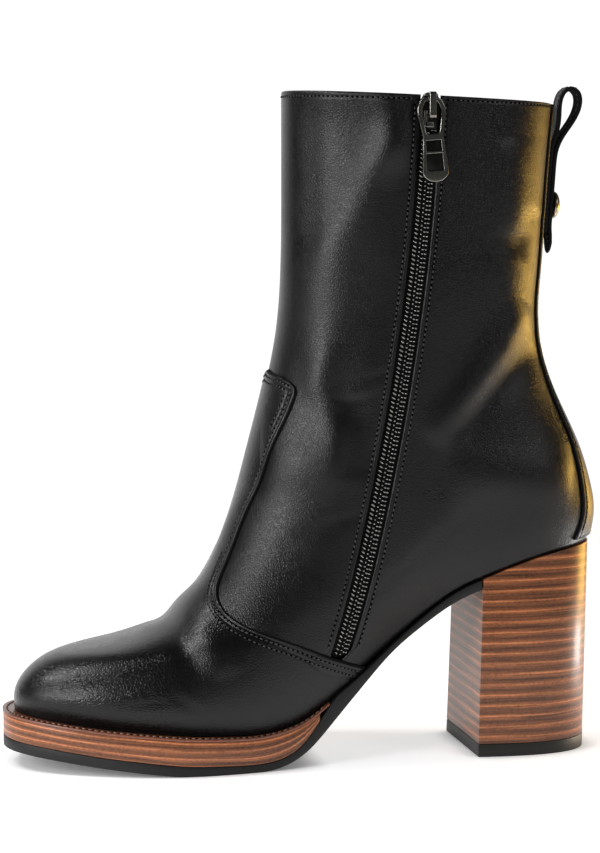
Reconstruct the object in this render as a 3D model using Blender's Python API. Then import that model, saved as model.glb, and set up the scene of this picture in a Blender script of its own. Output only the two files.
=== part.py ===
"""A right ankle boot with a block heel, a low platform and an inside zip.

Lengths are millimetres in the tables and become metres where vertices are made.
The toe points along -X, the zip (medial) side along -Y, and the floor is z = 0.
"""
import math
from collections import namedtuple

import bmesh
import bpy
import numpy as np

MM = 0.001

# Driving dimensions of the upper
WALL = 2.0                 # leather and lining together
GAP = 0.3                  # between pieces that meet
SEAT_GAP = 0.45            # under the upper's lower edge, whose facets dip below the curve
OVERLAY = 1.1              # thickness of a leather overlay
COLUMNS = 52               # facets round one ring of the upper
ROWS = 22                  # facets from the feather line to the collar
TIP_INFLARE = -5.0         # toe tip moved toward the medial side

# Driving dimensions of the sole and heel
WELT = 2.2                 # welt thickness
SOLE_EDGE = 0.8            # chamfer under the outsole edge
INSOLE = 2.5               # insole thickness
SHANK_END_X = 70.6         # back end of the outsole, just before the heel breast
PLATFORM_END_X = 1.8       # where the platform wedge runs out
WELT_END_X = 6.0           # where the welt runs out
HEEL_BREAST_X = 71.2       # breast of the heel block at its top
HEEL_FOOT_X = (69.0, 119.4)  # breast and back of the heel at the floor
HEEL_FOOT_SPREAD = 1.05    # width at the floor over width at the seat
TOP_LIFT = 5.3             # rubber lift under the heel

# Driving dimensions of the zip, the strap and the rivet
ZIP_SLOT = 8.6             # width of the slot in the quarter
ZIP_CHAIN = 6.4            # width of the closed teeth
ZIP_TAPE = 24.0            # width of the tape behind the slot
ZIP_END_Z = 47.0           # lower end of the slot
TAPE_THICK = 0.8
CHAIN_THICK = 1.5
PULL_THICK = 1.6
STRAP_THICK = 1.5
STRAP_WIDTH = 9.0
RIVET_RADIUS = 5.5
RIVET_RISE = 3.2
RIVET_SHANK = 1.5
RIVET_Z = 224.8

# Each section is one ring round the foot, from its point on the back profile to its
# point on the front profile. Columns heel to toe are medial half-widths at seven even
# steps from back to front. sag bends the ring like the seat, skew sets how much of the
# lateral fullness and of the toe's inflare the ring has.
Section = namedtuple("Section", "back_x back_z front_x front_z sag skew "
                     "heel counter waist shank ball vamp toe")
SECTIONS = (
    Section(120.6, 86.8, -116.6, 22.3, 1.00, 1.00, 18.8, 26.2, 25.5, 32.0, 41.0, 35.0, 21.5),
    Section(122.3, 97.0, -116.2, 30.6, 0.95, 0.90, 20.2, 28.6, 29.5, 36.0, 43.8, 38.0, 24.0),
    Section(121.3, 107.5, -107.0, 40.6, 0.80, 0.70, 20.6, 29.9, 32.5, 38.6, 42.6, 36.2, 22.0),
    Section(117.5, 121.0, -88.0, 45.2, 0.64, 0.45, 20.4, 30.2, 33.8, 38.6, 41.0, 33.8, 21.0),
    Section(112.4, 133.0, -62.0, 52.4, 0.48, 0.25, 19.6, 29.8, 34.2, 38.0, 40.0, 33.6, 21.2),
    Section(105.3, 147.5, -43.4, 67.4, 0.34, 0.12, 18.8, 29.2, 34.2, 37.4, 38.4, 32.6, 20.4),
    Section(99.4, 164.5, -29.7, 93.5, 0.20, 0.05, 18.0, 28.8, 34.2, 36.8, 36.6, 30.6, 18.6),
    Section(97.4, 182.0, -21.3, 122.3, 0.10, 0.00, 17.6, 28.8, 34.4, 36.8, 35.6, 28.8, 17.0),
    Section(98.4, 198.5, -14.0, 151.0, 0.04, 0.00, 17.5, 29.1, 34.8, 37.0, 35.4, 28.0, 16.2),
    Section(99.7, 216.0, -9.0, 178.5, 0.01, 0.00, 17.6, 29.5, 35.4, 37.6, 35.6, 27.9, 15.8),
    Section(101.2, 238.5, -7.4, 216.0, 0.00, 0.00, 17.9, 30.0, 36.2, 38.5, 36.2, 28.3, 15.9),
    Section(103.8, 266.0, -7.4, 271.0, 0.00, 0.00, 18.2, 30.8, 37.2, 39.6, 37.2, 29.0, 16.4),
)
# What the lateral half-width has more than the medial one, heel to toe
LATERAL_EXTRA = (0.0, 1.0, 5.0, 6.0, 1.5, -2.0, -2.5)
# How far the sole's edge stands outside the feather line, heel to toe, and at the tips
LEDGE = (0.6, 0.8, 1.8, 5.0, 7.0, 6.2, 5.2)
HEEL_LEDGE = 0.6
TOE_LEDGE = 6.0

# Side profile of the sole: the floor side, the top of the outsole and the foot's seat
Sole = namedtuple("Sole", "x ground outsole_top seat")
SOLE = (
    Sole(-122.6, 7.6, 10.6, 22.0),
    Sole(-105.0, 5.6, 8.7, 19.9),
    Sole(-85.0, 3.1, 6.1, 17.7),
    Sole(-65.0, 0.9, 4.3, 16.1),
    Sole(-55.0, 0.0, 3.5, 15.3),
    Sole(-38.0, 0.0, 3.0, 14.5),
    Sole(-22.0, 0.0, 3.1, 14.4),
    Sole(-12.0, 2.0, 5.6, 16.1),
    Sole(-3.0, 7.0, 12.2, 19.5),
    Sole(8.0, 18.0, 27.0, 27.3),
    Sole(20.0, 31.0, 36.4, 36.4),
    Sole(32.0, 43.6, 46.8, 46.8),
    Sole(46.0, 54.8, 58.2, 58.2),
    Sole(60.0, 64.0, 67.9, 67.9),
    Sole(72.0, 69.4, 73.4, 73.4),
    Sole(95.0, 77.5, 81.5, 81.5),
    Sole(122.5, 82.5, 86.5, 86.5),
)
FLAT_FROM_X, FLAT_TO_X = -55.0, -22.0   # the forefoot's flat spot on the floor

# Zip centre line in side view: a parabola through these three points
ZIP_LINE = ((10.6, 46.5), (35.8, 160.6), (45.7, 268.6))

# Edge of the vamp in side view, from the front of its tongue down to the sole
Edge = namedtuple("Edge", "x z")
VAMP_EDGE = (
    Edge(-13.5, 158.0), Edge(-10.6, 155.8), Edge(-7.6, 152.8), Edge(-6.9, 149.8),
    Edge(-11.7, 136.0), Edge(-19.2, 118.0), Edge(-26.2, 99.5), Edge(-31.0, 85.5),
    Edge(-34.6, 76.5), Edge(-36.7, 70.4), Edge(-36.8, 66.6), Edge(-34.9, 62.6),
    Edge(-30.5, 59.0), Edge(-22.0, 55.4), Edge(-9.0, 50.8), Edge(9.6, 43.4), Edge(22.0, 38.9),
)
# Half-width of the back stay seen from behind
Stay = namedtuple("Stay", "z half_width")
BACK_STAY = (Stay(60.0, 20.5), Stay(90.0, 20.5), Stay(110.0, 19.0), Stay(135.0, 15.5),
             Stay(165.0, 13.0), Stay(200.0, 12.0), Stay(290.0, 9.0))

# Centre line of the pull strap in side view above the boot's back, from the end of its
# inner layer up over the loop and down to the tip of its outer layer
STRAP_LOOP = (Edge(104.9, 249.0), Edge(106.6, 254.5), Edge(107.6, 260.0), Edge(107.9, 265.5),
              Edge(108.8, 269.4), Edge(111.0, 272.0), Edge(113.6, 272.4), Edge(115.7, 270.8),
              Edge(116.5, 267.6), Edge(115.4, 262.8), Edge(112.4, 257.6), Edge(108.8, 252.4),
              Edge(106.6, 247.4))
STRAP_INNER_END_Z = 214.0
STRAP_TIP = Edge(103.9, 204.8)

# Slider and pull, seen from the medial side
SLIDER_X = 45.3
SLIDER_Z = (255.2, 270.0)
SLIDER_PLATE = 2.0
BRIDGE_HALF = 1.7
BRIDGE_LEG = 1.3
BRIDGE_RISE = (4.9, 6.4)   # underside and top of the bridge above the quarter
PULL_PIVOT = Edge(44.8, 267.0)
PULL_LEAN = math.radians(4.2)
PULL_RISE = 3.3            # middle of the pull above the quarter


def natural_spline(knots, values):
    """Cubic spline through the values, straight at both ends; returns a function."""
    knots = np.asarray(knots, float)
    values = np.asarray(values, float)
    count = len(knots)
    step = np.diff(knots)
    matrix = np.eye(count)
    right = np.zeros(values.shape)
    for i in range(1, count - 1):
        matrix[i, i - 1:i + 2] = step[i - 1], 2 * (step[i - 1] + step[i]), step[i]
        right[i] = 6 * ((values[i + 1] - values[i]) / step[i] - (values[i] - values[i - 1]) / step[i - 1])
    bend = np.linalg.solve(matrix, right)

    def curve(where):
        where = np.asarray(where, float)
        k = np.clip(np.searchsorted(knots, where) - 1, 0, count - 2)
        h = step[k]
        a = (knots[k + 1] - where) / h
        if values.ndim > 1:
            h = h[..., None]
            a = a[..., None]
        b = 1 - a
        return a * values[k] + b * values[k + 1] + ((a**3 - a) * bend[k] + (b**3 - b) * bend[k + 1]) * h * h / 6

    return curve


STATIONS = 16


def ring_bend_matrix():
    """Matrix that turns the sixteen stations of a closed ring into their second derivatives."""
    eye = np.eye(STATIONS)
    before = np.roll(eye, 1, axis=1)
    after = np.roll(eye, -1, axis=1)
    second = (before - 2 * eye + after) * 6 * STATIONS**2
    return np.linalg.solve(before + 4 * eye + after, second)


RING_BEND = ring_bend_matrix()


def ring_curve(stations, tau):
    """Closed cubic spline through sixteen even stations; one row of stations per tau."""
    bend = stations @ RING_BEND.T
    place = (tau % 1.0) * STATIONS
    k = np.minimum(place.astype(int), STATIONS - 1)
    b = place - k
    a = 1 - b
    rows = np.arange(len(tau))
    after = (k + 1) % STATIONS
    cubic = (a**3 - a) * bend[rows, k] + (b**3 - b) * bend[rows, after]
    return a * stations[rows, k] + b * stations[rows, after] + cubic / (6 * STATIONS**2)


SOLE_X = [row.x for row in SOLE]
seat_line = natural_spline(SOLE_X, [row.seat for row in SOLE])
ground_line = natural_spline(SOLE_X, [row.ground for row in SOLE])
outsole_line = natural_spline(SOLE_X, [row.outsole_top for row in SOLE])

SECTION_TABLE = np.array(SECTIONS)


def section_heights():
    """Place of each section along the ring direction, from its mean distance to the one before."""
    back = np.diff(SECTION_TABLE[:, 0:2], axis=0)
    front = np.diff(SECTION_TABLE[:, 2:4], axis=0)
    steps = (np.linalg.norm(back, axis=1) + np.linalg.norm(front, axis=1)) / 2
    total = np.concatenate([[0.0], np.cumsum(steps)])
    return total / total[-1]


section_at = natural_spline(section_heights(), SECTION_TABLE)


def along(tau):
    """Share of the way from the back profile (0) to the front profile (1)."""
    return (1 - np.cos(2 * np.pi * tau)) / 2


def surface(tau, v):
    """Outside of the quarter: tau runs round from the back by the medial side, v from sole to collar."""
    tau = np.asarray(tau, float).ravel()
    row = section_at(np.broadcast_to(np.asarray(v, float).ravel(), tau.shape))
    back_x, back_z, front_x, front_z, sag, skew = row[:, :6].T
    medial = row[:, 6:]
    lateral = medial + skew[:, None] * np.array(LATERAL_EXTRA)
    zero = np.zeros((len(tau), 1))
    tip = skew[:, None] * TIP_INFLARE
    stations = np.hstack([zero, -medial, tip, lateral[:, ::-1]])
    s = along(tau)
    first = SECTIONS[0]
    seat_x = first.back_x + (first.front_x - first.back_x) * s
    chord_z = first.back_z + (first.front_z - first.back_z) * s
    x = back_x + (front_x - back_x) * s
    z = back_z + (front_z - back_z) * s + sag * (seat_line(seat_x) + SEAT_GAP - chord_z)
    return np.stack([x, ring_curve(stations, tau), z], axis=1)


def surface_normal(tau, v):
    """Outward unit normal of the quarter's surface."""
    tau = np.asarray(tau, float).ravel()
    v = np.broadcast_to(np.asarray(v, float).ravel(), tau.shape)
    d = 0.002
    round_it = surface(tau + d, v) - surface(tau - d, v)
    up_it = surface(tau, np.minimum(v + d, 1)) - surface(tau, np.maximum(v - d, 0))
    normal = np.cross(up_it, round_it)
    return normal / np.linalg.norm(normal, axis=1)[:, None]


def column_tau():
    """Columns round the ring, a little closer together along the sides than at the ends."""
    u = np.arange(COLUMNS) / COLUMNS
    return u + 0.2 * np.sin(4 * np.pi * u) / (4 * np.pi)


def row_v():
    """Rows from the feather line to the collar, closer together near the sole."""
    r = np.linspace(0, 1, ROWS + 1)
    return 0.5 * r + 0.5 * r * r


TAU = column_tau()
ROW_V = row_v()


def material(name, colour, roughness, metallic=0.0):
    """One Principled material."""
    made = bpy.data.materials.new(name)
    made.use_nodes = True
    shader = made.node_tree.nodes["Principled BSDF"]
    shader.inputs["Base Color"].default_value = (*colour, 1.0)
    shader.inputs["Roughness"].default_value = roughness
    shader.inputs["Metallic"].default_value = metallic
    return made


def mesh_object(name, points, faces, paint=None):
    """A closed body from points in millimetres, triangulated and with its faces outward."""
    mesh = bpy.data.meshes.new(name)
    mesh.from_pydata([tuple(float(c) * MM for c in p) for p in points], [], faces)
    body = bmesh.new()
    body.from_mesh(mesh)
    bmesh.ops.remove_doubles(body, verts=body.verts, dist=0.000001)
    bmesh.ops.recalc_face_normals(body, faces=body.faces)
    bmesh.ops.triangulate(body, faces=body.faces)
    body.to_mesh(mesh)
    body.free()
    made = bpy.data.objects.new(name, mesh)
    bpy.context.scene.collection.objects.link(made)
    if paint:
        mesh.materials.append(paint)
    return made


def shell(name, columns, rows, low, high, paint=None, closed=False):
    """Solid between two offsets of the quarter's surface over the given columns and rows."""
    across = len(columns)
    up = len(rows)
    tau = np.tile(columns, up)
    v = np.repeat(rows, across)
    place = surface(tau, v)
    normal = surface_normal(tau, v)
    points = np.vstack([place + normal * high, place + normal * low])
    inner = across * up
    faces = []
    turns = across if closed else across - 1
    for j in range(up - 1):
        for i in range(turns):
            a = j * across + i
            b = j * across + (i + 1) % across
            c = b + across
            d = a + across
            faces.append((a, b, c, d))
            faces.append((inner + d, inner + c, inner + b, inner + a))
    for i in range(turns):
        a, b = i, (i + 1) % across
        top = (up - 1) * across
        faces.append((inner + a, inner + b, b, a))
        faces.append((top + a, top + b, inner + top + b, inner + top + a))
    if not closed:
        for j in range(up - 1):
            a, d = j * across, (j + 1) * across
            faces.append((a, d, inner + d, inner + a))
            a, d = a + across - 1, d + across - 1
            faces.append((inner + a, inner + d, d, a))
    return mesh_object(name, points, faces, paint)


def prism(name, outline, axis, low, high, paint=None):
    """A flat outline pushed along X (outline in y, z) or along Y (outline in x, z)."""
    count = len(outline)
    if axis == "X":
        points = [(low, a, b) for a, b in outline] + [(high, a, b) for a, b in outline]
    else:
        points = [(a, low, b) for a, b in outline] + [(a, high, b) for a, b in outline]
    faces = [tuple(range(count)), tuple(range(2 * count - 1, count - 1, -1))]
    for i in range(count):
        j = (i + 1) % count
        faces.append((i, j, count + j, count + i))
    return mesh_object(name, points, faces, paint)


def combine(target, tool, operation):
    """Boolean of target with tool; the tool is used up."""
    step = target.modifiers.new("cut", "BOOLEAN")
    step.operation = operation
    step.solver = "EXACT"
    step.object = tool
    bpy.context.view_layer.update()
    graph = bpy.context.evaluated_depsgraph_get()
    result = bpy.data.meshes.new_from_object(target.evaluated_get(graph))
    target.modifiers.clear()
    old = target.data
    paints = [m for m in old.materials if m]
    target.data = result
    result.materials.clear()
    for paint in paints:
        result.materials.append(paint)
    bpy.data.meshes.remove(old)
    bpy.data.objects.remove(tool)
    body = bmesh.new()
    body.from_mesh(result)
    bmesh.ops.dissolve_degenerate(body, edges=body.edges, dist=0.00002)
    bmesh.ops.triangulate(body, faces=body.faces)
    body.to_mesh(result)
    body.free()
    return target


def sole_outline(s_values, extra=0.0):
    """Medial and lateral points of the sole's edge at shares s from heel to toe."""
    first = SECTIONS[0]
    medial = np.array(first[6:]) + np.array(LEDGE) + extra
    lateral = medial + np.array(LATERAL_EXTRA)
    stations = np.concatenate([[0.0], -medial, [TIP_INFLARE], lateral[::-1]])
    tau = np.arccos(1 - 2 * np.asarray(s_values)) / (2 * np.pi)
    table = np.tile(stations, (len(tau), 1))
    back_x = first.back_x + HEEL_LEDGE + extra
    front_x = first.front_x - TOE_LEDGE - extra
    x = back_x + (front_x - back_x) * np.asarray(s_values)
    return x, ring_curve(table, tau), ring_curve(table, 1 - tau)


def sole_share(x, extra=0.0):
    """Share s at a given x of the sole's edge."""
    first = SECTIONS[0]
    back_x = first.back_x + HEEL_LEDGE + extra
    front_x = first.front_x - TOE_LEDGE - extra
    return (back_x - x) / (back_x - front_x)


def even_shares(low, high, count):
    """Shares from low to high, close together near the round toe and heel."""
    u = np.linspace(math.acos(1 - 2 * low), math.acos(1 - 2 * high), count)
    return (1 - np.cos(u)) / 2


def plate(name, low_share, high_share, count, profile, paint):
    """A layer of the sole. profile(x) gives (outset, z) pairs from its underside to its top."""
    shares = even_shares(low_share, high_share, count)
    loops = len(profile(0.0))
    points = []
    for k in range(loops):
        outset = profile(0.0)[k][0]
        x, medial, lateral = sole_outline(shares, outset)
        z = [profile(value)[k][1] for value in x]
        points += list(zip(x, medial, z)) + list(zip(x, lateral, z))
    size = 2 * count
    faces = []
    top = (loops - 1) * size
    for i in range(count - 1):
        faces.append((i, i + 1, count + i + 1, count + i))
        faces.append((top + i, top + count + i, top + count + i + 1, top + i + 1))
    for k in range(loops - 1):
        a = k * size
        b = a + size
        for i in range(count - 1):
            faces.append((a + i, b + i, b + i + 1, a + i + 1))
            faces.append((a + count + i, a + count + i + 1, b + count + i + 1, b + count + i))
        faces.append((a, a + count, b + count, b))
        last = count - 1
        faces.append((a + last, b + last, b + count + last, a + count + last))
    return mesh_object(name, points, faces, paint)


def floor_line(x):
    """Underside of the outsole, flat under the ball of the foot."""
    return 0.0 if FLAT_FROM_X <= x <= FLAT_TO_X else max(0.0, float(ground_line(x)))


def outsole_top(x):
    """Top of the outsole: under the platform in front, at the seat in the waist."""
    seat = float(seat_line(x))
    return seat if x > 13.0 else min(float(outsole_line(x)), seat)


def heel_ring(count):
    """Outline of the heel at the seat: x, medial y and lateral y from the breast to the back."""
    angle = np.linspace(0, 1, count)
    shares = sole_share(HEEL_BREAST_X) * (1 - np.sin(angle * math.pi / 2))
    return sole_outline(shares)


def heel_at(height, ring):
    """Heel outline carried down to a height: 0 is the floor, 1 the seat."""
    x, medial, lateral = ring
    share = (x - x[0]) / (x[-1] - x[0])
    foot_x = HEEL_FOOT_X[0] + share * (HEEL_FOOT_X[1] - HEEL_FOOT_X[0])
    spread = HEEL_FOOT_SPREAD + (1 - HEEL_FOOT_SPREAD) * height
    return foot_x + (x - foot_x) * height, medial * spread, lateral * spread


def ladder(name, low, high, paint):
    """Solid between two outlines, each a list of medial points then lateral points."""
    count = len(low) // 2
    size = 2 * count
    points = list(low) + list(high)
    faces = []
    for i in range(count - 1):
        faces.append((i, i + 1, count + i + 1, count + i))
        faces.append((size + i, size + count + i, size + count + i + 1, size + i + 1))
        faces.append((i, size + i, size + i + 1, i + 1))
        faces.append((count + i, count + i + 1, size + count + i + 1, size + count + i))
    faces.append((0, count, size + count, size))
    last = count - 1
    faces.append((last, size + last, size + count + last, count + last))
    return mesh_object(name, points, faces, paint)


def outline_points(x, medial, lateral, z):
    """Medial then lateral points of one outline at heights z."""
    return list(zip(x, medial, z)) + list(zip(x, lateral, z))


def zip_x(z):
    """x of the zip's centre line at height z."""
    (x0, z0), (x1, z1), (x2, z2) = ZIP_LINE
    first = (x1 - x0) / (z1 - z0)
    second = ((x2 - x1) / (z2 - z1) - first) / (z2 - z0)
    return x0 + first * (z - z0) + second * (z - z0) * (z - z1)


def zip_strip(half_width, low_z, high_z):
    """Outline of a strip of the given half-width along the zip's centre line."""
    heights = np.linspace(low_z, high_z, 15)
    left, right = [], []
    for z in heights:
        slope = (zip_x(z + 1) - zip_x(z - 1)) / 2
        size = math.hypot(1, slope)
        across, down = half_width / size, half_width * slope / size
        left.append((zip_x(z) - across, z + down))
        right.append((zip_x(z) + across, z - down))
    return left + right[::-1]


def ribbon(line, thickness):
    """Outline of a strip of the given thickness about a centre line in side view."""
    line = np.array(line, float)
    way = np.gradient(line, axis=0)
    way /= np.linalg.norm(way, axis=1)[:, None]
    side = np.stack([-way[:, 1], way[:, 0]], axis=1) * thickness / 2
    return [tuple(p) for p in line + side] + [tuple(p) for p in (line - side)[::-1]]


def back_x(z):
    """x of the quarter's back profile at height z."""
    v = np.linspace(0, 1, 200)
    line = surface(np.zeros(200), v)
    return float(np.interp(z, line[:, 2], line[:, 0]))


def strap_line():
    """Centre line of the folded strap: inner layer up, loop, outer layer down."""
    lift = OVERLAY + 2 * GAP + STRAP_THICK / 2
    inner = [(back_x(z) + lift, z) for z in np.linspace(STRAP_INNER_END_Z, 243.0, 5)]
    step = STRAP_THICK + GAP
    outer = [(back_x(z) + lift + step, z) for z in np.linspace(241.0, 215.0, 5)]
    tip = [(STRAP_TIP.x + 0.3, 210.0), tuple(STRAP_TIP)]
    return inner + [tuple(p) for p in STRAP_LOOP] + outer + tip


def zip_face_y():
    """y of the quarter's outside behind the slider."""
    v = np.linspace(0.8, 1, 60)
    line = surface(np.full(60, 0.26), v)
    return float(np.interp((SLIDER_Z[0] + SLIDER_Z[1]) / 2, line[:, 2], line[:, 1]))


def slider_solid(paint):
    """Slider: a shield plate on the teeth with a bridge over it."""
    face = zip_face_y()
    low, high = SLIDER_Z
    half = ZIP_SLOT / 2 - 0.4
    shield = [(-half * 0.75, high), (-half, high - 2.5), (-half, low + 5), (-half * 0.7, low),
              (half * 0.7, low), (half, low + 5), (half, high - 2.5), (half * 0.75, high)]
    outline = [(SLIDER_X + a, b) for a, b in shield]
    body = prism("zip_slider", outline, "Y", face - SLIDER_PLATE, face + 0.2, paint)
    under, over = BRIDGE_RISE
    root = SLIDER_PLATE - 0.6
    side = [(face - root, low + 0.2), (face - over + 0.7, low + 0.2), (face - over, low + 1.0),
            (face - over, high - 1.0), (face - over + 0.7, high - 0.2), (face - root, high - 0.2),
            (face - root, high - 0.2 - BRIDGE_LEG), (face - under, high - 0.2 - BRIDGE_LEG),
            (face - under, low + 0.2 + BRIDGE_LEG), (face - root, low + 0.2 + BRIDGE_LEG)]
    bridge = prism("bridge", side, "X", SLIDER_X - BRIDGE_HALF, SLIDER_X + BRIDGE_HALF)
    return combine(body, bridge, "UNION")


def leaned(outline):
    """Outline about the pull's pivot, with the lean of the pull in its own plane."""
    c, s = math.cos(PULL_LEAN), math.sin(PULL_LEAN)
    return [(PULL_PIVOT.x + a * c - b * s, PULL_PIVOT.z + a * s + b * c) for a, b in outline]


def mirrored(half):
    """Closed outline from its right half, listed from top to bottom."""
    return half + [(-a, b) for a, b in half[::-1] if a > 0.0]


def pull_solid(paint):
    """Pull tab: a ring round the bridge over a frame with two windows."""
    face = zip_face_y()
    near = face - PULL_RISE - PULL_THICK / 2
    far = face - PULL_RISE + PULL_THICK / 2
    body = [(2.4, 0.75), (4.4, -0.6), (5.7, -3.6), (5.7, -6.6), (4.9, -10.6), (4.2, -14.6), (4.3, -17.0),
            (5.3, -29.2), (4.6, -30.8), (2.6, -32.4), (0.0, -32.9)]
    ring = [(2.4, -0.75), (3.6, -2.2), (4.3, -4.2), (4.2, -6.8), (3.3, -11.0), (2.9, -13.5), (2.3, -14.2)]
    upper_window = [(3.1, -16.2), (3.4, -20.6)]
    lower_window = [(3.5, -21.6), (4.1, -28.6)]
    made = prism("zip_pull", leaned(mirrored(body)), "Y", near, far, paint)
    for hole in (ring, upper_window, lower_window):
        made = combine(made, prism("hole", leaned(mirrored(hole)), "Y", near - 2, far + 2), "DIFFERENCE")
    return made


def turned(name, profile, centre_x, centre_z, lean, sides, paint):
    """Solid of revolution through (centre_x, 0, centre_z), its axis along X leaned down by an angle."""
    points, rings = [], []
    c, s = math.cos(lean), math.sin(lean)
    for x, radius in profile:
        if radius == 0:
            rings.append([len(points)])
            points.append((centre_x + x * c, 0, centre_z - x * s))
        else:
            rings.append(list(range(len(points), len(points) + sides)))
            for i in range(sides):
                turn = 2 * math.pi * i / sides
                rise = radius * math.sin(turn)
                points.append((centre_x + x * c + rise * s, radius * math.cos(turn), centre_z - x * s + rise * c))
    faces = []
    for low, high in zip(rings[:-1], rings[1:]):
        for i in range(sides):
            j = (i + 1) % sides
            corners = [low[i % len(low)], low[j % len(low)], high[j % len(high)], high[i % len(high)]]
            faces.append(tuple(dict.fromkeys(corners)))
    return mesh_object(name, points, faces, paint)


def build_upper(paint):
    """The quarter: one hollow wall, open at the collar and underneath, slotted for the zip."""
    body = shell("upper", TAU, ROW_V, -WALL, 0.0, paint, closed=True)
    slot = prism("slot", zip_strip(ZIP_SLOT / 2, ZIP_END_Z, 290.0), "Y", -70.0, -15.0)
    return combine(body, slot, "DIFFERENCE")


def build_vamp(paint):
    """Vamp overlay: a skin over the quarter, cut to the vamp's edge and clear of the welt."""
    columns = TAU[(TAU > 0.17) & (TAU < 0.83)]
    rows = ROW_V[ROW_V < 0.72]
    body = shell("vamp", columns, rows, GAP, GAP + OVERLAY, paint)
    hem = [(x, float(seat_line(x)) + 2 * GAP) for x in np.linspace(VAMP_EDGE[-1].x - 1.5, -122.6, 40)]
    outline = [tuple(p) for p in VAMP_EDGE] + hem + [(-140.0, 22.0), (-140.0, 158.0)]
    return combine(body, prism("vamp_cut", outline, "Y", -80.0, 80.0), "INTERSECT")


def build_back_stay(paint):
    """Back stay overlay: a strip of skin up the back seam, from the heel seat to the collar."""
    width = natural_spline([row.z for row in BACK_STAY], [row.half_width for row in BACK_STAY])
    rows = np.concatenate([[0.010], ROW_V[1:]])
    columns = np.concatenate([TAU[-8:] - 1.0, TAU[:9]])
    body = shell("back_stay", columns, rows, GAP, GAP + OVERLAY, paint)
    heights = np.linspace(60.0, 290.0, 24)
    side = [(float(width(z)), z) for z in heights]
    outline = side + [(-a, b) for a, b in side[::-1]]
    return combine(body, prism("stay_cut", outline, "X", 55.0, 160.0), "INTERSECT")


def build_zip_band(name, half_width, low, high, low_z, high_z, paint):
    """A strip of the zip, parallel to the quarter between two depths."""
    columns = TAU[(TAU > 0.14) & (TAU < 0.38)]
    body = shell(name, columns, ROW_V, low, high, paint)
    cut = prism("band_cut", zip_strip(half_width, low_z, high_z), "Y", -80.0, -10.0)
    return combine(body, cut, "INTERSECT")


def build_insole(paint):
    """Insole board between the walls, following the seat."""
    count = 34
    shares = even_shares(0.0, 1.0, count)
    inset = -(WALL + 0.5)
    first = SECTIONS[0]
    medial = np.array(first[6:]) + inset
    lateral = medial + np.array(LATERAL_EXTRA)
    stations = np.concatenate([[0.0], -medial, [TIP_INFLARE], lateral[::-1]])
    tau = np.arccos(1 - 2 * shares) / (2 * np.pi)
    table = np.tile(stations, (count, 1))
    back = first.back_x + inset
    front = first.front_x - inset
    x = back + (front - back) * shares
    y_medial, y_lateral = ring_curve(table, tau), ring_curve(table, 1 - tau)
    low = outline_points(x, y_medial, y_lateral, seat_line(x) + GAP)
    high = outline_points(x, y_medial, y_lateral, seat_line(x) + GAP + INSOLE)
    return ladder("insole", low, high, paint)


def build_sole(paints):
    """Outsole, platform and welt, each a layer with a gap to the next."""
    plate("outsole", sole_share(SHANK_END_X), 1.0, 44,
          lambda x: [(-SOLE_EDGE, floor_line(x)), (0.0, floor_line(x) + SOLE_EDGE), (0.0, outsole_top(x))],
          paints["rubber"])
    plate("platform", sole_share(PLATFORM_END_X), 1.0, 30,
          lambda x: [(0.0, outsole_top(x) + GAP), (0.0, float(seat_line(x)) - WELT - GAP)], paints["stack"])
    plate("welt", sole_share(WELT_END_X), 1.0, 32,
          lambda x: [(0.3, max(float(seat_line(x)) - WELT, outsole_top(x) + GAP)), (0.3, float(seat_line(x)))],
          paints["welt"])


def build_heel(paints):
    """Heel block and its top lift, both from the outline of the heel seat."""
    ring = heel_ring(16)
    x, medial, lateral = heel_at(1.0, ring)
    top = outline_points(x, medial, lateral, seat_line(x))
    lift_share = TOP_LIFT / 80.0
    split = outline_points(*heel_at(lift_share, ring), np.full(len(x), TOP_LIFT + GAP))
    lift_top = outline_points(*heel_at(lift_share, ring), np.full(len(x), TOP_LIFT))
    foot = outline_points(*heel_at(0.0, ring), np.zeros(len(x)))
    ladder("heel_block", split, top, paints["heel"])
    ladder("top_lift", foot, lift_top, paints["lift"])


def build_strap(paints):
    """Folded pull strap with the rivet's hole through both layers, and the rivet."""
    body = prism("pull_strap", ribbon(strap_line(), STRAP_THICK), "Y", -STRAP_WIDTH / 2, STRAP_WIDTH / 2,
                 paints["strap"])
    start = back_x(RIVET_Z) + OVERLAY + 2 * GAP
    outside = start + 2 * STRAP_THICK + GAP
    lean = math.atan((back_x(RIVET_Z + 8) - back_x(RIVET_Z - 8)) / 16)
    hole = turned("rivet_hole", [(-11, 0), (-11, RIVET_SHANK + GAP), (9, RIVET_SHANK + GAP), (9, 0)],
                  outside, RIVET_Z, lean, 16, None)
    combine(body, hole, "DIFFERENCE")
    half = STRAP_WIDTH / 2
    turns = np.linspace(math.pi, 2 * math.pi, 13)
    end = [(half * math.cos(t), STRAP_TIP.z + half + half * math.sin(t)) for t in turns]
    corner = [(half + 2, STRAP_TIP.z + half), (half + 2, STRAP_TIP.z - 4), (-half - 2, STRAP_TIP.z - 4),
              (-half - 2, STRAP_TIP.z + half)]
    combine(body, prism("tip_cut", end + corner, "X", 90.0, 120.0), "DIFFERENCE")
    steps = 5
    dome = [(GAP + 0.4, RIVET_RADIUS)]
    for i in range(1, steps):
        turn = math.pi / 2 * i / steps
        dome.append((GAP + 0.4 + (RIVET_RISE - 0.4) * math.sin(turn), RIVET_RADIUS * math.cos(turn)))
    profile = [(start - outside, 0), (start - outside, RIVET_SHANK), (GAP, RIVET_SHANK),
               (GAP, RIVET_RADIUS)] + dome + [(GAP + RIVET_RISE, 0)]
    turned("rivet", profile, outside, RIVET_Z, lean, 24, paints["rivet"])


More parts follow.
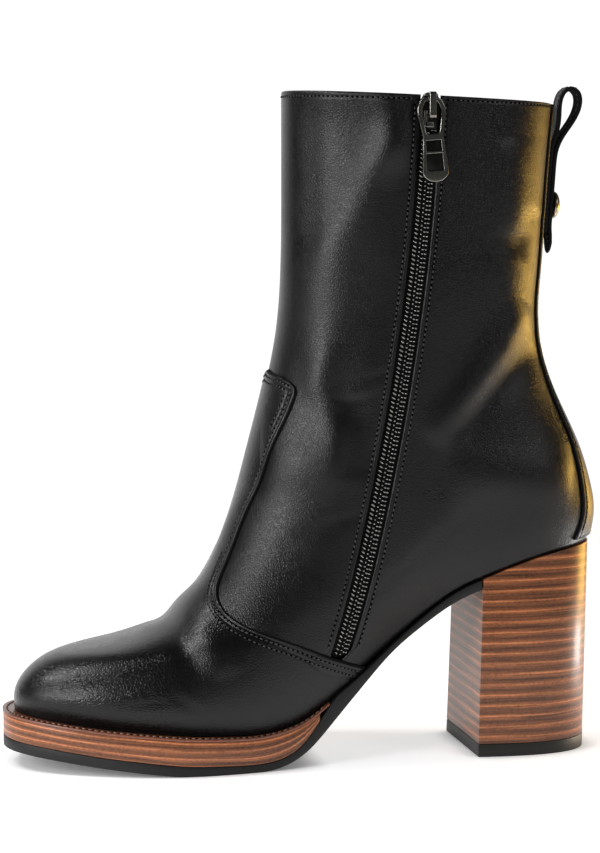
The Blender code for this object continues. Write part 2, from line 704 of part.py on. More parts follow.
def build():
    """Clear the scene and make every piece of the boot."""
    for old in list(bpy.data.objects):
        bpy.data.objects.remove(old)
    paints = {
        "quarter": material("quarter_leather", (0.022, 0.022, 0.025), 0.38),
        "vamp": material("vamp_leather", (0.020, 0.020, 0.022), 0.34),
        "stay": material("stay_leather", (0.021, 0.020, 0.020), 0.36),
        "insole": material("insole_leather", (0.10, 0.075, 0.05), 0.7),
        "welt": material("welt_leather", (0.11, 0.035, 0.018), 0.5),
        "stack": material("stacked_leather", (0.24, 0.095, 0.04), 0.45),
        "heel": material("heel_leather", (0.24, 0.10, 0.045), 0.45),
        "rubber": material("outsole_rubber", (0.025, 0.025, 0.026), 0.6),
        "lift": material("lift_rubber", (0.03, 0.03, 0.026), 0.65),
        "tape": material("zip_tape_cloth", (0.015, 0.015, 0.016), 0.85),
        "chain": material("zip_chain_metal", (0.03, 0.03, 0.032), 0.4, 0.6),
        "slider": material("slider_gunmetal", (0.07, 0.07, 0.068), 0.35, 0.9),
        "pull": material("pull_gunmetal", (0.07, 0.07, 0.068), 0.35, 0.9),
        "strap": material("strap_leather", (0.02, 0.019, 0.019), 0.4),
        "rivet": material("rivet_brass", (0.35, 0.25, 0.10), 0.35, 1.0),
    }
    build_upper(paints["quarter"])
    build_vamp(paints["vamp"])
    build_back_stay(paints["stay"])
    build_insole(paints["insole"])
    build_sole(paints)
    build_heel(paints)
    depth = WALL + GAP + 0.1
    build_zip_band("zip_tape", ZIP_TAPE / 2, -depth - TAPE_THICK, -depth, 40.0, 262.0, paints["tape"])
    build_zip_band("zip_chain", ZIP_CHAIN / 2, -CHAIN_THICK - 0.6, -0.6, ZIP_END_Z + 1.5, 264.0, paints["chain"])
    slider_solid(paints["slider"])
    pull_solid(paints["pull"])
    build_strap(paints)


build()
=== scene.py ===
# %% [markdown]
# # A right ankle boot in black leather
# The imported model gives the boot's true sizes as plain solids. This lesson dresses it: each
# piece is made again the way a shoemaker makes it, as leather sheets, rows of stitches, metal
# teeth and stacked layers, in the same frame and place. The tables are in millimetres, because
# a boot is measured so, and they become metres where vertices are placed.

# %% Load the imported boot
import math
from collections import namedtuple

import bmesh
import bpy
import numpy as np
from mathutils import Matrix, Vector


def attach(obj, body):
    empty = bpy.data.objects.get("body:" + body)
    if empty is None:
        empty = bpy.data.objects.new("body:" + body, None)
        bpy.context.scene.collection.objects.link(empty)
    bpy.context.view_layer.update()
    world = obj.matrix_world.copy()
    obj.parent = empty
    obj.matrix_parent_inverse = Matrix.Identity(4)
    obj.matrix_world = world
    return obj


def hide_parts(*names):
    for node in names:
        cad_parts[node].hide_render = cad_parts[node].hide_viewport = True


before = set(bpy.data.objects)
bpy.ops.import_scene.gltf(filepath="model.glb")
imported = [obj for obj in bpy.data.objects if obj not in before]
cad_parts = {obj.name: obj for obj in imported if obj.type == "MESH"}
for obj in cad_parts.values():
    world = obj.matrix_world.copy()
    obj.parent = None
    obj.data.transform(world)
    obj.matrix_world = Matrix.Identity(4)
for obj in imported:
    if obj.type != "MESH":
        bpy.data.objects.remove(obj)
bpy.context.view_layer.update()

MM = 0.001
print("Nodes in the frame:", sorted(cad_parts))

# %% [markdown]
# ## Camera
# The boot stands side on, turned a little so that its toe comes toward the viewer, and it was
# taken from about one metre away with a long lens. A long lens keeps the shaft's edges nearly
# parallel. The camera looks a little down from the height of the ankle, so the floor shows.

# %% Camera at the photograph's angle
def aim(thing, target):
    """Point a camera or a light, which look along their own -Z, at a place in metres."""
    way = Vector(target) - thing.location
    thing.rotation_euler = way.to_track_quat("-Z", "Y").to_euler()


camera = bpy.data.objects.new("camera", bpy.data.cameras.new("camera"))
camera.data.sensor_width = 36.0
camera.data.lens = 123.95
camera.location = (-0.2084, -1.1818, 0.235)
aim(camera, (0.0, 0.0, 0.1343))
bpy.context.scene.collection.objects.link(camera)
bpy.context.scene.camera = camera
print("Camera at", tuple(camera.location), "with a lens of", camera.data.lens, "mm")

# %% [markdown]
# ## How materials are written
# Colours are read from screens as sRGB codes, but the shader works in linear light, so one
# function converts them. A second one adds a node, sets its properties and sockets, and links
# it, because a material is then a short list from its coordinates to its shader.

# %% Colour and node helpers
def colour(code):
    """Linear colour from an sRGB hex code."""
    parts = [int(code[i:i + 2], 16) / 255 for i in (1, 3, 5)]
    linear = [c / 12.92 if c <= 0.04045 else ((c + 0.055) / 1.055) ** 2.4 for c in parts]
    return (*linear, 1.0)


def add(paint, kind, settings, sockets):
    """Add a shader node. A socket takes a value, or (node, output) to link it."""
    node = paint.node_tree.nodes.new("ShaderNode" + kind)
    for name, value in settings.items():
        setattr(node, name, value)
    for name, value in sockets.items():
        if isinstance(value, tuple) and isinstance(value[0], bpy.types.Node):
            paint.node_tree.links.new(value[0].outputs[value[1]], node.inputs[name])
        else:
            node.inputs[name].default_value = value
    return node


def new_paint(name):
    """An empty material that waits for its nodes."""
    paint = bpy.data.materials.new(name)
    paint.use_nodes = True
    paint.node_tree.nodes.clear()
    return paint


print("Mid grey #808080 is", round(colour("#808080")[0], 3), "in linear light")

# %% [markdown]
# ## Studio
# Black leather shows its shape only by what it mirrors. A studio for it has a white wall behind
# and a darker room in front, so that the flanks stay black. A soft box at the left draws the
# shaft's ridge, with a narrow bright one before it. One at the right lights the flank, one above
# lights the toe, a small one behind lights the heel, and a warm lamp behind gives the golden
# edge at the back. An area light's power is worked out from how bright its face should look, so
# a bigger box isn't brighter. The camera itself sees the room as plain white, and the Standard
# view keeps that white.

# %% Studio light
def soft_box(name, place, target, size, brightness, tint):
    """Area light with a face of the given size in metres and the given brightness."""
    lamp = bpy.data.lights.new(name, "AREA")
    lamp.shape = "RECTANGLE"
    lamp.size, lamp.size_y = size
    lamp.energy = brightness * math.pi * size[0] * size[1]
    lamp.color = tint
    holder = bpy.data.objects.new(name, lamp)
    holder.location = place
    holder.visible_camera = False
    aim(holder, target)
    bpy.context.scene.collection.objects.link(holder)
    print(name, "has", round(lamp.energy, 2), "W")


soft_box("left_box", (-1.145, -0.500, 0.50), (0.0, 0.0, 0.17), (0.90, 0.62), 5.5, (1.0, 0.98, 1.0))
soft_box("left_spot", (-1.024, -0.717, 0.44), (0.0, 0.0, 0.17), (0.24, 0.40), 9.5, (1.0, 0.98, 1.0))
soft_box("right_box", (0.75, -0.65, 0.62), (0.06, 0.0, 0.12), (0.5, 0.40), 2.5, (1.0, 0.99, 0.97))
soft_box("high_box", (-0.95, 0.20, 1.20), (-0.08, 0.0, 0.05), (0.42, 0.42), 16.0, (1.0, 0.99, 0.98))
soft_box("heel_fill", (0.25, 0.02, 0.02), (0.118, -0.01, 0.045), (0.06, 0.03), 20.0,
         (1.0, 0.98, 0.96))
soft_box("warm_lamp", (0.80, 0.29, 0.085), (0.08, 0.0, 0.17), (0.40, 0.18), 14.0, (1.0, 0.60, 0.13))

# %% Studio room
room = bpy.data.worlds.new("studio_room")
room.use_nodes = True
room.node_tree.nodes.clear()
ray = add(room, "TexCoord", {}, {})
split = add(room, "SeparateXYZ", {}, {0: (ray, "Generated")})
wall = add(room, "MapRange", {"interpolation_type": "SMOOTHSTEP"},
           {"Value": (split, "Y"), "From Min": 0.70, "From Max": 0.92, "To Min": 0.09,
            "To Max": 1.06})
ceiling = add(room, "MapRange", {"interpolation_type": "SMOOTHSTEP"},
              {"Value": (split, "Z"), "From Min": 0.15, "From Max": 0.7, "To Min": 1.0,
               "To Max": 0.42})
both = add(room, "Math", {"operation": "MULTIPLY"}, {0: (wall, 0), 1: (ceiling, 0)})
path = add(room, "LightPath", {}, {})
seen = add(room, "Math", {"operation": "MAXIMUM"}, {0: (path, "Is Camera Ray"), 1: (both, 0)})
glow = add(room, "Background", {}, {"Color": (1.0, 1.0, 1.0, 1.0), "Strength": (seen, 0)})
add(room, "OutputWorld", {}, {"Surface": (glow, 0)})
bpy.context.scene.world = room
bpy.context.scene.view_settings.view_transform = "Standard"
print("The room has", len(room.node_tree.nodes), "nodes")

# %% [markdown]
# The boot stands on a round table of matt white paper that glows a little, so that it stays
# white round the boot. Close to the boot an ambient occlusion node dims that glow: a painted
# contact shadow, narrow and dark, where the boot meets the floor. It is stage, not boot: a
# circle whose paper has a faint cloudiness.

# %% Paper table
def paper():
    """Matt white paper that glows a little: rough, faintly cloudy, with a painted contact shadow
    where ambient occlusion dims the glow.
    """
    paint = new_paint("glowing_paper_with_painted_shadow")
    place = add(paint, "TexCoord", {}, {})
    cloud = add(paint, "TexNoise", {}, {"Vector": (place, "Object"), "Scale": 6.0})
    tone = add(paint, "Mix", {"data_type": "RGBA"},
               {0: (cloud, "Fac"), 6: colour("#f0f0ef"), 7: colour("#f6f6f6")})
    # painted shadow: near the boot ambient occlusion turns the paper's glow down, a contact shadow
    # painted into the floor
    near = add(paint, "AmbientOcclusion", {"samples": 8}, {"Distance": 0.012})
    below = add(paint, "MapRange", {}, {"Value": (near, "AO"), "From Min": 0.3, "From Max": 0.9,
                                        "To Min": 0.12, "To Max": 0.66})
    shader = add(paint, "BsdfPrincipled", {},
                 {"Base Color": (tone, 2), "Roughness": 0.9, "Specular IOR Level": 0.1,
                  "Emission Color": (1.0, 1.0, 1.0, 1.0), "Emission Strength": (below, 0)})
    add(paint, "OutputMaterial", {}, {"Surface": (shader, 0)})
    return paint


made = bmesh.new()
bmesh.ops.create_circle(made, cap_ends=True, segments=96, radius=0.8)
mesh = bpy.data.meshes.new("floor")
made.to_mesh(mesh)
made.free()
mesh.materials.append(paper())
floor = bpy.data.objects.new("floor", mesh)
bpy.context.scene.collection.objects.link(floor)
print("Paper table of 1.6 m")

# %% [markdown]
# ## The last
# A boot's leather takes its shape from a last, a solid form of the foot. Here the last is a
# stack of rings round the foot, each with a point on the back profile, a point on the front
# profile and seven half-widths between them. They are the same sections that the solids have,
# so a sheet that is moved onto this surface sits where its solid is. The stations of the sole
# are those of the solids too, but the rubber's top line is up to 1.3 mm higher at the toe.

# %% Sections of the last
Section = namedtuple("Section", "back_x back_z front_x front_z sag skew "
                     "heel counter waist shank ball vamp toe")
SECTIONS = (
    Section(120.6, 86.8, -116.6, 22.3, 1.00, 1.00, 18.8, 26.2, 25.5, 32.0, 41.0, 35.0, 21.5),
    Section(122.3, 97.0, -116.2, 30.6, 0.95, 0.90, 20.2, 28.6, 29.5, 36.0, 43.8, 38.0, 24.0),
    Section(121.3, 107.5, -107.0, 40.6, 0.80, 0.70, 20.6, 29.9, 32.5, 38.6, 42.6, 36.2, 22.0),
    Section(117.5, 121.0, -88.0, 45.2, 0.64, 0.45, 20.4, 30.2, 33.8, 38.6, 41.0, 33.8, 21.0),
    Section(112.4, 133.0, -62.0, 52.4, 0.48, 0.25, 19.6, 29.8, 34.2, 38.0, 40.0, 33.6, 21.2),
    Section(105.3, 147.5, -43.4, 67.4, 0.34, 0.12, 18.8, 29.2, 34.2, 37.4, 38.4, 32.6, 20.4),
    Section(99.4, 164.5, -29.7, 93.5, 0.20, 0.05, 18.0, 28.8, 34.2, 36.8, 36.6, 30.6, 18.6),
    Section(97.4, 182.0, -21.3, 122.3, 0.10, 0.00, 17.6, 28.8, 34.4, 36.8, 35.6, 28.8, 17.0),
    Section(98.4, 198.5, -14.0, 151.0, 0.04, 0.00, 17.5, 29.1, 34.8, 37.0, 35.4, 28.0, 16.2),
    Section(99.7, 216.0, -9.0, 178.5, 0.01, 0.00, 17.6, 29.5, 35.4, 37.6, 35.6, 27.9, 15.8),
    Section(101.2, 238.5, -7.4, 216.0, 0.00, 0.00, 17.9, 30.0, 36.2, 38.5, 36.2, 28.3, 15.9),
    Section(103.8, 266.0, -7.4, 271.0, 0.00, 0.00, 18.2, 30.8, 37.2, 39.6, 37.2, 29.0, 16.4),
)
LATERAL_EXTRA = (0.0, 1.0, 5.0, 6.0, 1.5, -2.0, -2.5)   # fuller on the outer side, heel to toe
TIP_INFLARE = -5.0                                      # the toe turns in, toward the other foot
SEAT_GAP = 0.45

Sole = namedtuple("Sole", "x ground outsole_top seat")
SOLE = (
    Sole(-122.6, 7.6, 11.9, 22.0), Sole(-105.0, 5.6, 9.9, 19.9), Sole(-85.0, 3.1, 7.4, 17.7),
    Sole(-65.0, 0.9, 5.3, 16.1), Sole(-55.0, 0.0, 4.3, 15.3), Sole(-38.0, 0.0, 3.5, 14.5),
    Sole(-22.0, 0.0, 3.4, 14.4), Sole(-12.0, 2.0, 5.6, 16.1), Sole(-3.0, 7.0, 12.2, 19.5),
    Sole(8.0, 18.0, 27.0, 27.3), Sole(20.0, 31.0, 36.4, 36.4), Sole(32.0, 43.6, 46.8, 46.8),
    Sole(46.0, 54.8, 58.2, 58.2), Sole(60.0, 64.0, 67.9, 67.9), Sole(72.0, 69.4, 73.4, 73.4),
    Sole(95.0, 77.5, 81.5, 81.5), Sole(122.5, 82.5, 86.5, 86.5),
)
print(len(SECTIONS), "rings of the last and", len(SOLE), "stations of the sole")

# %% [markdown]
# Two splines turn the tables into a smooth form. One is straight at its ends and carries each
# column from ring to ring. The other is closed and carries the half-widths round a ring.

# %% Splines
def natural_spline(knots, values):
    """Cubic spline through the values, straight at both ends; returns a function."""
    knots, values = np.asarray(knots, float), np.asarray(values, float)
    count, step = len(knots), np.diff(knots)
    matrix, right = np.eye(count), np.zeros(values.shape)
    for i in range(1, count - 1):
        matrix[i, i - 1:i + 2] = step[i - 1], 2 * (step[i - 1] + step[i]), step[i]
        before, after = ((values[k + 1] - values[k]) / step[k] for k in (i - 1, i))
        right[i] = 6 * (after - before)
    bend = np.linalg.solve(matrix, right)

    def curve(where):
        where = np.asarray(where, float)
        k = np.clip(np.searchsorted(knots, where) - 1, 0, count - 2)
        h, a = step[k], (knots[k + 1] - where) / step[k]
        if values.ndim > 1:
            h, a = h[..., None], a[..., None]
        b = 1 - a
        cubic = (a**3 - a) * bend[k] + (b**3 - b) * bend[k + 1]
        return a * values[k] + b * values[k + 1] + cubic * h * h / 6

    return curve


STATIONS = 16
EYE = np.eye(STATIONS)
BEFORE, AFTER = np.roll(EYE, 1, axis=1), np.roll(EYE, -1, axis=1)
RING_BEND = np.linalg.solve(BEFORE + 4 * EYE + AFTER, (BEFORE - 2 * EYE + AFTER) * 6 * STATIONS**2)


def ring_curve(stations, tau):
    """Closed cubic spline through sixteen even stations; one row of stations per tau."""
    bend = stations @ RING_BEND.T
    place = (tau % 1.0) * STATIONS
    k = np.minimum(place.astype(int), STATIONS - 1)
    b = place - k
    a, rows, after = 1 - b, np.arange(len(tau)), (k + 1) % STATIONS
    cubic = (a**3 - a) * bend[rows, k] + (b**3 - b) * bend[rows, after]
    return a * stations[rows, k] + b * stations[rows, after] + cubic / (6 * STATIONS**2)


print("A closed ring has", STATIONS, "stations")

# %% Surface of the last
SOLE_X = [row.x for row in SOLE]
seat_line = natural_spline(SOLE_X, [row.seat for row in SOLE])
ground_line = natural_spline(SOLE_X, [row.ground for row in SOLE])
outsole_line = natural_spline(SOLE_X, [row.outsole_top for row in SOLE])
TABLE = np.array(SECTIONS)


def unit(vectors):
    """Rows of vectors, each made one long."""
    return vectors / np.linalg.norm(vectors, axis=1)[:, None]


def run_along(points):
    """Distance along a line to each of its points."""
    return np.concatenate([[0.0], np.cumsum(np.linalg.norm(np.diff(points, axis=0), axis=1))])


def eased(angle):
    """Share from 0 to 1 that starts and ends slowly, for an angle from 0 to pi."""
    return (1 - np.cos(angle)) / 2


CLIMB = (run_along(TABLE[:, 0:2]) + run_along(TABLE[:, 2:4])) / 2     # up the back and the front
section_at = natural_spline(CLIMB / CLIMB[-1], TABLE)


def surface(tau, v):
    """Outside of the quarter. tau runs round from the back by the inner side to the toe (0.5)
    and home by the outer side; v runs from the sole (0) to the collar (1)."""
    row = section_at(v)
    back_x, back_z, front_x, front_z, sag, skew = row[:, :6].T
    inner = row[:, 6:]
    outer = inner + skew[:, None] * np.array(LATERAL_EXTRA)
    stations = np.hstack([np.zeros((len(tau), 1)), -inner, skew[:, None] * TIP_INFLARE,
                          outer[:, ::-1]])
    s = eased(2 * np.pi * tau)
    first = SECTIONS[0]
    seat_x = first.back_x + (first.front_x - first.back_x) * s
    chord_z = first.back_z + (first.front_z - first.back_z) * s
    x = back_x + (front_x - back_x) * s
    z = back_z + (front_z - back_z) * s + sag * (seat_line(seat_x) + SEAT_GAP - chord_z)
    return np.stack([x, ring_curve(stations, tau), z], axis=1)


def surface_normal(tau, v):
    """Outward unit normal of the last."""
    d = 0.002
    round_it = surface(tau + d, v) - surface(tau - d, v)
    up_it = surface(tau, np.minimum(v + d, 1)) - surface(tau, np.maximum(v - d, 0))
    return unit(np.cross(up_it, round_it))


def side_place(x, z):
    """tau and v on the inner side of the point that is seen at x, z from the side."""
    x, z = np.asarray(x, float), np.asarray(z, float)
    low, high = np.zeros(len(x)), np.ones(len(x))
    for _ in range(30):
        v = (low + high) / 2
        row = section_at(v)
        s = np.clip((row[:, 0] - x) / (row[:, 0] - row[:, 2]), 0, 1)
        tau = np.arccos(1 - 2 * s) / (2 * np.pi)
        above = surface(tau, v)[:, 2] > z
        low, high = np.where(above, low, v), np.where(above, v, high)
    return tau, v


ball = surface(np.array([0.3125, 0.6875]), np.zeros(2))
print("Ball of the foot is", round(float(np.ptp(ball[:, 1])), 1), "mm wide")

# %% [markdown]
# ## Creases
# Leather that has been lasted and worn isn't even: it bulges over the instep, folds where the
# ankle bends and pulls in beside the zip. A noise texture would put folds anywhere, so each
# fold here is given as a line seen from the side, with a width and a height. A sum of
# soft ridges along those lines is added to the surface before the sheets are made.

# %% Folds of the leather
Fold = namedtuple("Fold", "side x0 z0 x1 z1 width height")
INNER, OUTER = -1, 1
FOLDS = (
    Fold(INNER, -4.0, 272.0, 34.0, 270.0, 9.0, 1.8),     # the collar stands out a little
    Fold(INNER, 0.0, 300.0, 0.0, 190.0, 5.0, -0.8),      # shallow hollow at the front edge
    Fold(INNER, -18.0, 123.0, 12.0, 120.0, 12.0, 1.9),   # roll of leather in front of the ankle
    Fold(INNER, 16.0, 150.0, 18.0, 116.0, 7.0, -0.8),
    Fold(INNER, 30.0, 158.5, 5.0, 152.0, 1.6, -0.3),     # crease into the zip, wrinkles under it
    Fold(INNER, 26.0, 150.5, 10.0, 145.5, 1.4, -0.2),
    Fold(INNER, 20.0, 147.0, 6.0, 148.5, 1.3, -0.2),
    Fold(INNER, -10.0, 94.0, 20.0, 102.0, 2.4, -0.35),   # faint creases over the instep
    Fold(INNER, -16.0, 89.0, 10.0, 96.0, 2.0, -0.3),
    Fold(INNER, -32.0, 110.0, -30.0, 56.0, 14.0, 1.4),   # the instep is full beside the vamp's seam
    Fold(INNER, -61.0, 66.0, -47.0, 36.0, 5.0, -1.0),    # the vamp bends behind the toes: a hollow,
    Fold(INNER, -50.0, 72.0, -38.0, 38.0, 7.0, 1.2),     # a roll behind it and creases below
    Fold(INNER, -60.0, 33.0, -47.0, 24.0, 1.1, -0.4),
    Fold(INNER, -80.0, 27.5, -57.0, 29.5, 1.6, -0.3),
    Fold(INNER, 80.0, 252.0, 82.0, 212.0, 9.0, 1.2),     # the back of the shaft is wavy
    Fold(INNER, 93.0, 224.0, 83.0, 204.0, 6.0, -0.9),
    Fold(INNER, 78.0, 208.0, 82.0, 172.0, 8.0, 0.9),
    Fold(INNER, 90.0, 185.0, 47.0, 130.0, 6.5, 2.2),     # long fold behind the ankle
    Fold(INNER, 94.0, 168.0, 58.0, 130.0, 6.0, -1.6),    # hollow under that fold
    Fold(INNER, 97.0, 168.0, 108.0, 124.0, 7.0, 0.3),    # the heel's stiffener keeps the back full
    Fold(INNER, 54.0, 117.0, 110.0, 113.0, 13.0, 2.3),
    Fold(OUTER, -61.0, 66.0, -47.0, 36.0, 5.0, -1.0),
    Fold(OUTER, -50.0, 72.0, -38.0, 38.0, 7.0, 1.2),
    Fold(OUTER, 24.0, 250.0, 8.0, 170.0, 9.0, 1.4),      # the outer side, much the same
    Fold(OUTER, 26.0, 206.0, 22.0, 150.0, 8.0, -1.4),
    Fold(OUTER, -4.0, 152.0, 40.0, 136.0, 5.0, 1.6),
    Fold(OUTER, 6.0, 142.0, 46.0, 124.0, 5.0, -1.5),
    Fold(OUTER, 94.0, 180.0, 54.0, 134.0, 6.0, 2.0),
    Fold(OUTER, 96.0, 165.0, 62.0, 136.0, 6.0, -1.6),
    Fold(OUTER, 60.0, 250.0, 66.0, 196.0, 10.0, 1.0),
)
Crest = namedtuple("Crest", "z x width height")
RIDGE = (                                                # the long ridge in front of the zip
    Crest(290.0, 31.5, 8.0, 1.4), Crest(262.0, 31.0, 8.0, 2.3), Crest(247.0, 30.0, 8.0, 3.4),
    Crest(237.0, 25.5, 8.0, 2.0), Crest(227.0, 20.5, 8.5, 1.3), Crest(215.0, 12.5, 10.0, 1.5),
    Crest(203.0, 6.0, 11.0, 2.0), Crest(190.0, 5.2, 11.0, 2.0), Crest(179.0, 4.8, 10.0, 1.9),
    Crest(170.0, 4.4, 8.0, 1.8), Crest(161.0, 3.6, 6.0, 1.9), Crest(152.5, 2.4, 5.5, 1.6),
    Crest(144.5, 4.4, 6.0, 0.9), Crest(136.5, 8.8, 7.0, 1.4), Crest(128.5, 10.5, 7.0, 1.4),
    Crest(118.5, 12.0, 7.0, 0.8), Crest(105.0, 13.0, 7.0, 0.0),
)
ridge_at = natural_spline([crest.z for crest in RIDGE[::-1]],
                          np.array([crest[1:] for crest in RIDGE[::-1]]))
print(len(FOLDS), "folds, the highest", max(fold.height for fold in FOLDS), "mm")


# %% Height of the folds
def on_side(points, side):
    """1 on one side of the boot, 0 on the other."""
    return 1 / (1 + np.exp(-side * points[:, 1] / 3.0))


def ridge_height(points):
    """How far the long ridge lifts points: its crest, width and height change with height."""
    x, width, height = ridge_at(np.clip(points[:, 2], RIDGE[-1].z, RIDGE[0].z)).T
    return height * np.exp(-((points[:, 0] - x) / width) ** 2) * on_side(points, INNER)


def fold_height(points):
    """How far the folds lift points of the surface, in millimetres."""
    total = ridge_height(points)
    for fold in FOLDS:
        way = np.array([fold.x1 - fold.x0, fold.z1 - fold.z0])
        from_start = points[:, [0, 2]] - np.array([fold.x0, fold.z0])
        along = np.clip(from_start @ way / (way @ way), 0, 1)
        off = np.linalg.norm(from_start - along[:, None] * way, axis=1)
        fade = 1 - (2 * along - 1) ** 4
        total += fold.height * np.exp(-(off / fold.width) ** 2) * fade * on_side(points, fold.side)
    return total


def skin(tau, v, lift):
    """Points of a leather sheet that stands lift millimetres off the last, folds included."""
    base = surface(tau, v)
    return base + surface_normal(tau, v) * (lift + fold_height(base))[:, None]


print("The long ridge is up to", max(crest.height for crest in RIDGE), "mm high")

# %% [markdown]
# ## Sheets and pieces
# Every leather part starts as a flat grid, as it does on the cutting table, whose corners are
# then moved onto the last. The edge of a cut sheet is rolled down in an arc and its rows are
# crowded there, so that light catches it, and it has a furrow where it is sewn. Each piece is
# told which body it rides on and which solid it stands for, which is hidden, and gets its paint.

# %% Sheet helpers
EDGE_STEPS = np.array([0.0, 0.12, 0.35, 0.7, 1.2, 1.7, 2.1, 2.4, 2.7,     # mm from a cut edge
                       3.0, 3.4, 3.9, 4.4, 4.7, 5.0, 5.3, 5.8, 6.6])
FURROW_DEPTH, FURROW_WIDTH = 0.28, 0.5


def sheet(columns, rows, place):
    """Grid of faces whose corners place(u, w) moves, in millimetres; u and w run from 0 to 1."""
    made = bmesh.new()
    bmesh.ops.create_grid(made, x_segments=columns, y_segments=rows, size=0.5)
    corners = list(made.verts)
    u = np.array([corner.co.x + 0.5 for corner in corners])
    w = np.array([corner.co.y + 0.5 for corner in corners])
    for corner, point in zip(corners, place(u, w)):
        corner.co = point * MM
    return made


def crowded(u, count, length):
    """Distances along a strip, crowded over the rolled and sewn edge at both of its ends."""
    index, k = np.rint(u * count), len(EDGE_STEPS) - 1
    last = EDGE_STEPS[k]
    middle = last + (length - 2 * last) * (index - k) / (count - 2 * k)
    start = np.interp(index, np.arange(k + 1), EDGE_STEPS)
    end = length - np.interp(count - index, np.arange(k + 1), EDGE_STEPS)
    return np.where(index < k, start, np.where(index > count - k, end, middle))


def rolled(distance, thick, seams=()):
    """Height of a sheet's face at a distance from its cut edge, with a furrow where it is sewn."""
    inside = 1 - np.clip(distance / thick, 0, 1)
    height = thick * np.sqrt(1 - inside**2)
    for seam_at in seams:
        height = height - FURROW_DEPTH * np.exp(-((distance - seam_at) / FURROW_WIDTH) ** 2)
    return height


print("Rows are crowded over", EDGE_STEPS[-1], "mm beside a cut edge")


# %% Piece helpers
def piece(name, made, paint, stands_for=(), body="boot", sharp=None):
    """Finish a bmesh as an object that rides on a body of the frame."""
    mesh = bpy.data.meshes.new(name)
    made.to_mesh(mesh)
    made.free()
    mesh.materials.append(paint)
    mesh.shade_smooth()
    if sharp:
        mesh.set_sharp_from_angle(angle=math.radians(sharp))
    thing = bpy.data.objects.new(name, mesh)
    bpy.context.scene.collection.objects.link(thing)
    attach(thing, body)
    if stands_for:
        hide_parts(*stands_for)
    print(name, "has", len(mesh.polygons), "faces")
    return thing


def thicken(thing, thick):
    """Give a sheet its wall, inward from its face."""
    wall = thing.modifiers.new("wall", "SOLIDIFY")
    wall.thickness = thick * MM
    wall.offset = -1.0


# %% [markdown]
# ## Leather
# The upper is full-grain calf, dyed through and finished with a thin satin coat. The grain is
# small pebbles about a millimetre across with creases between them, so a Voronoi texture that
# measures the distance to the nearest crease is used as height. A slow noise makes the polish
# uneven, which breaks up the highlights as hand polish does.

# %% Black calf leather
def calf(name, tint, shine, pebble_mm, depth_mm, gleam=0.5):
    """Black calf with a satin coat: pebbled grain in the highlights, darkness between them."""
    paint = new_paint(name)
    place = add(paint, "TexCoord", {}, {})
    drift = add(paint, "TexNoise", {}, {"Vector": (place, "Object"), "Scale": 1000 / 1.8,
                                        "Detail": 2.0})
    bent = add(paint, "VectorMath", {"operation": "MULTIPLY_ADD"},
               {0: (drift, "Color"), 1: (0.0005, 0.0005, 0.0005), 2: (place, "Object")})
    pebble = add(paint, "TexVoronoi", {"feature": "DISTANCE_TO_EDGE"},
                 {"Vector": (bent, 0), "Scale": 1000 / pebble_mm})
    rounded = add(paint, "MapRange", {"interpolation_type": "SMOOTHSTEP"},
                  {"Value": (pebble, "Distance"), "From Min": 0.0, "From Max": 0.3})
    fine = add(paint, "TexNoise", {}, {"Vector": (place, "Object"), "Scale": 1000 / 0.6,
                                       "Detail": 3.0})
    height = add(paint, "Math", {"operation": "MULTIPLY_ADD"},
                 {0: (fine, "Fac"), 1: 0.5, 2: (rounded, 0)})
    polish = add(paint, "TexNoise", {}, {"Vector": (place, "Object"), "Scale": 1000 / 28.0,
                                         "Detail": 3.0})
    rough = add(paint, "MapRange", {}, {"Value": (polish, "Fac"), "From Min": 0.3, "From Max": 0.7,
                                        "To Min": shine - 0.05, "To Max": shine + 0.07})
    tone = add(paint, "Mix", {"data_type": "RGBA"},
               {0: (polish, "Fac"), 6: colour(tint), 7: colour("#0d0c0d")})
    bump = add(paint, "Bump", {}, {"Height": (height, 0), "Strength": 0.6,
                                   "Distance": depth_mm * MM})
    shader = add(paint, "BsdfPrincipled", {},
                 {"Base Color": (tone, 2), "Roughness": (rough, 0), "IOR": 1.4,
                  "Specular IOR Level": gleam, "Normal": (bump, 0)})
    add(paint, "OutputMaterial", {}, {"Surface": (shader, 0)})
    return paint


quarter_calf = calf("quarter_calf", "#070709", 0.31, 0.9, 0.085)
vamp_calf = calf("vamp_calf", "#070709", 0.27, 1.0, 0.09)
stay_calf = calf("stay_calf", "#070708", 0.30, 0.9, 0.08)
print("Three calf leathers, pebbles of about 1 mm")

# %% [markdown]
# ## Quarter
# The quarter is the leather that wraps the ankle and the shaft, cut open down the inner side
# for the zip. A tube with a slot cut by a Boolean would have ragged edges, so the sheet starts
# at one lip of the slot, runs round the toe and the back, and ends at the other lip. Below the
# slot both lips meet under the vamp. Lips and collar roll inward as a turned edge does.

# %% Line of the zip
ZIP_LINE = ((10.6, 46.5), (35.8, 160.6), (45.7, 268.6))
ZIP_SLOT = 8.0
ZIP_END_Z = 44.6


def zip_x(z):
    """x of the zip's centre line at height z: a parabola through three points."""
    (x0, z0), (x1, z1), (x2, z2) = ZIP_LINE
    first = (x1 - x0) / (z1 - z0)
    second = ((x2 - x1) / (z2 - z1) - first) / (z2 - z0)
    return x0 + first * (z - z0) + second * (z - z0) * (z - z1)


def beside_zip(z, off):
    """tau and v of points at heights z, off millimetres from the zip, positive toward the toe."""
    slope = zip_x(z + 0.5) - zip_x(z - 0.5)
    return side_place(zip_x(z) - off * np.sqrt(1 + slope**2), z)


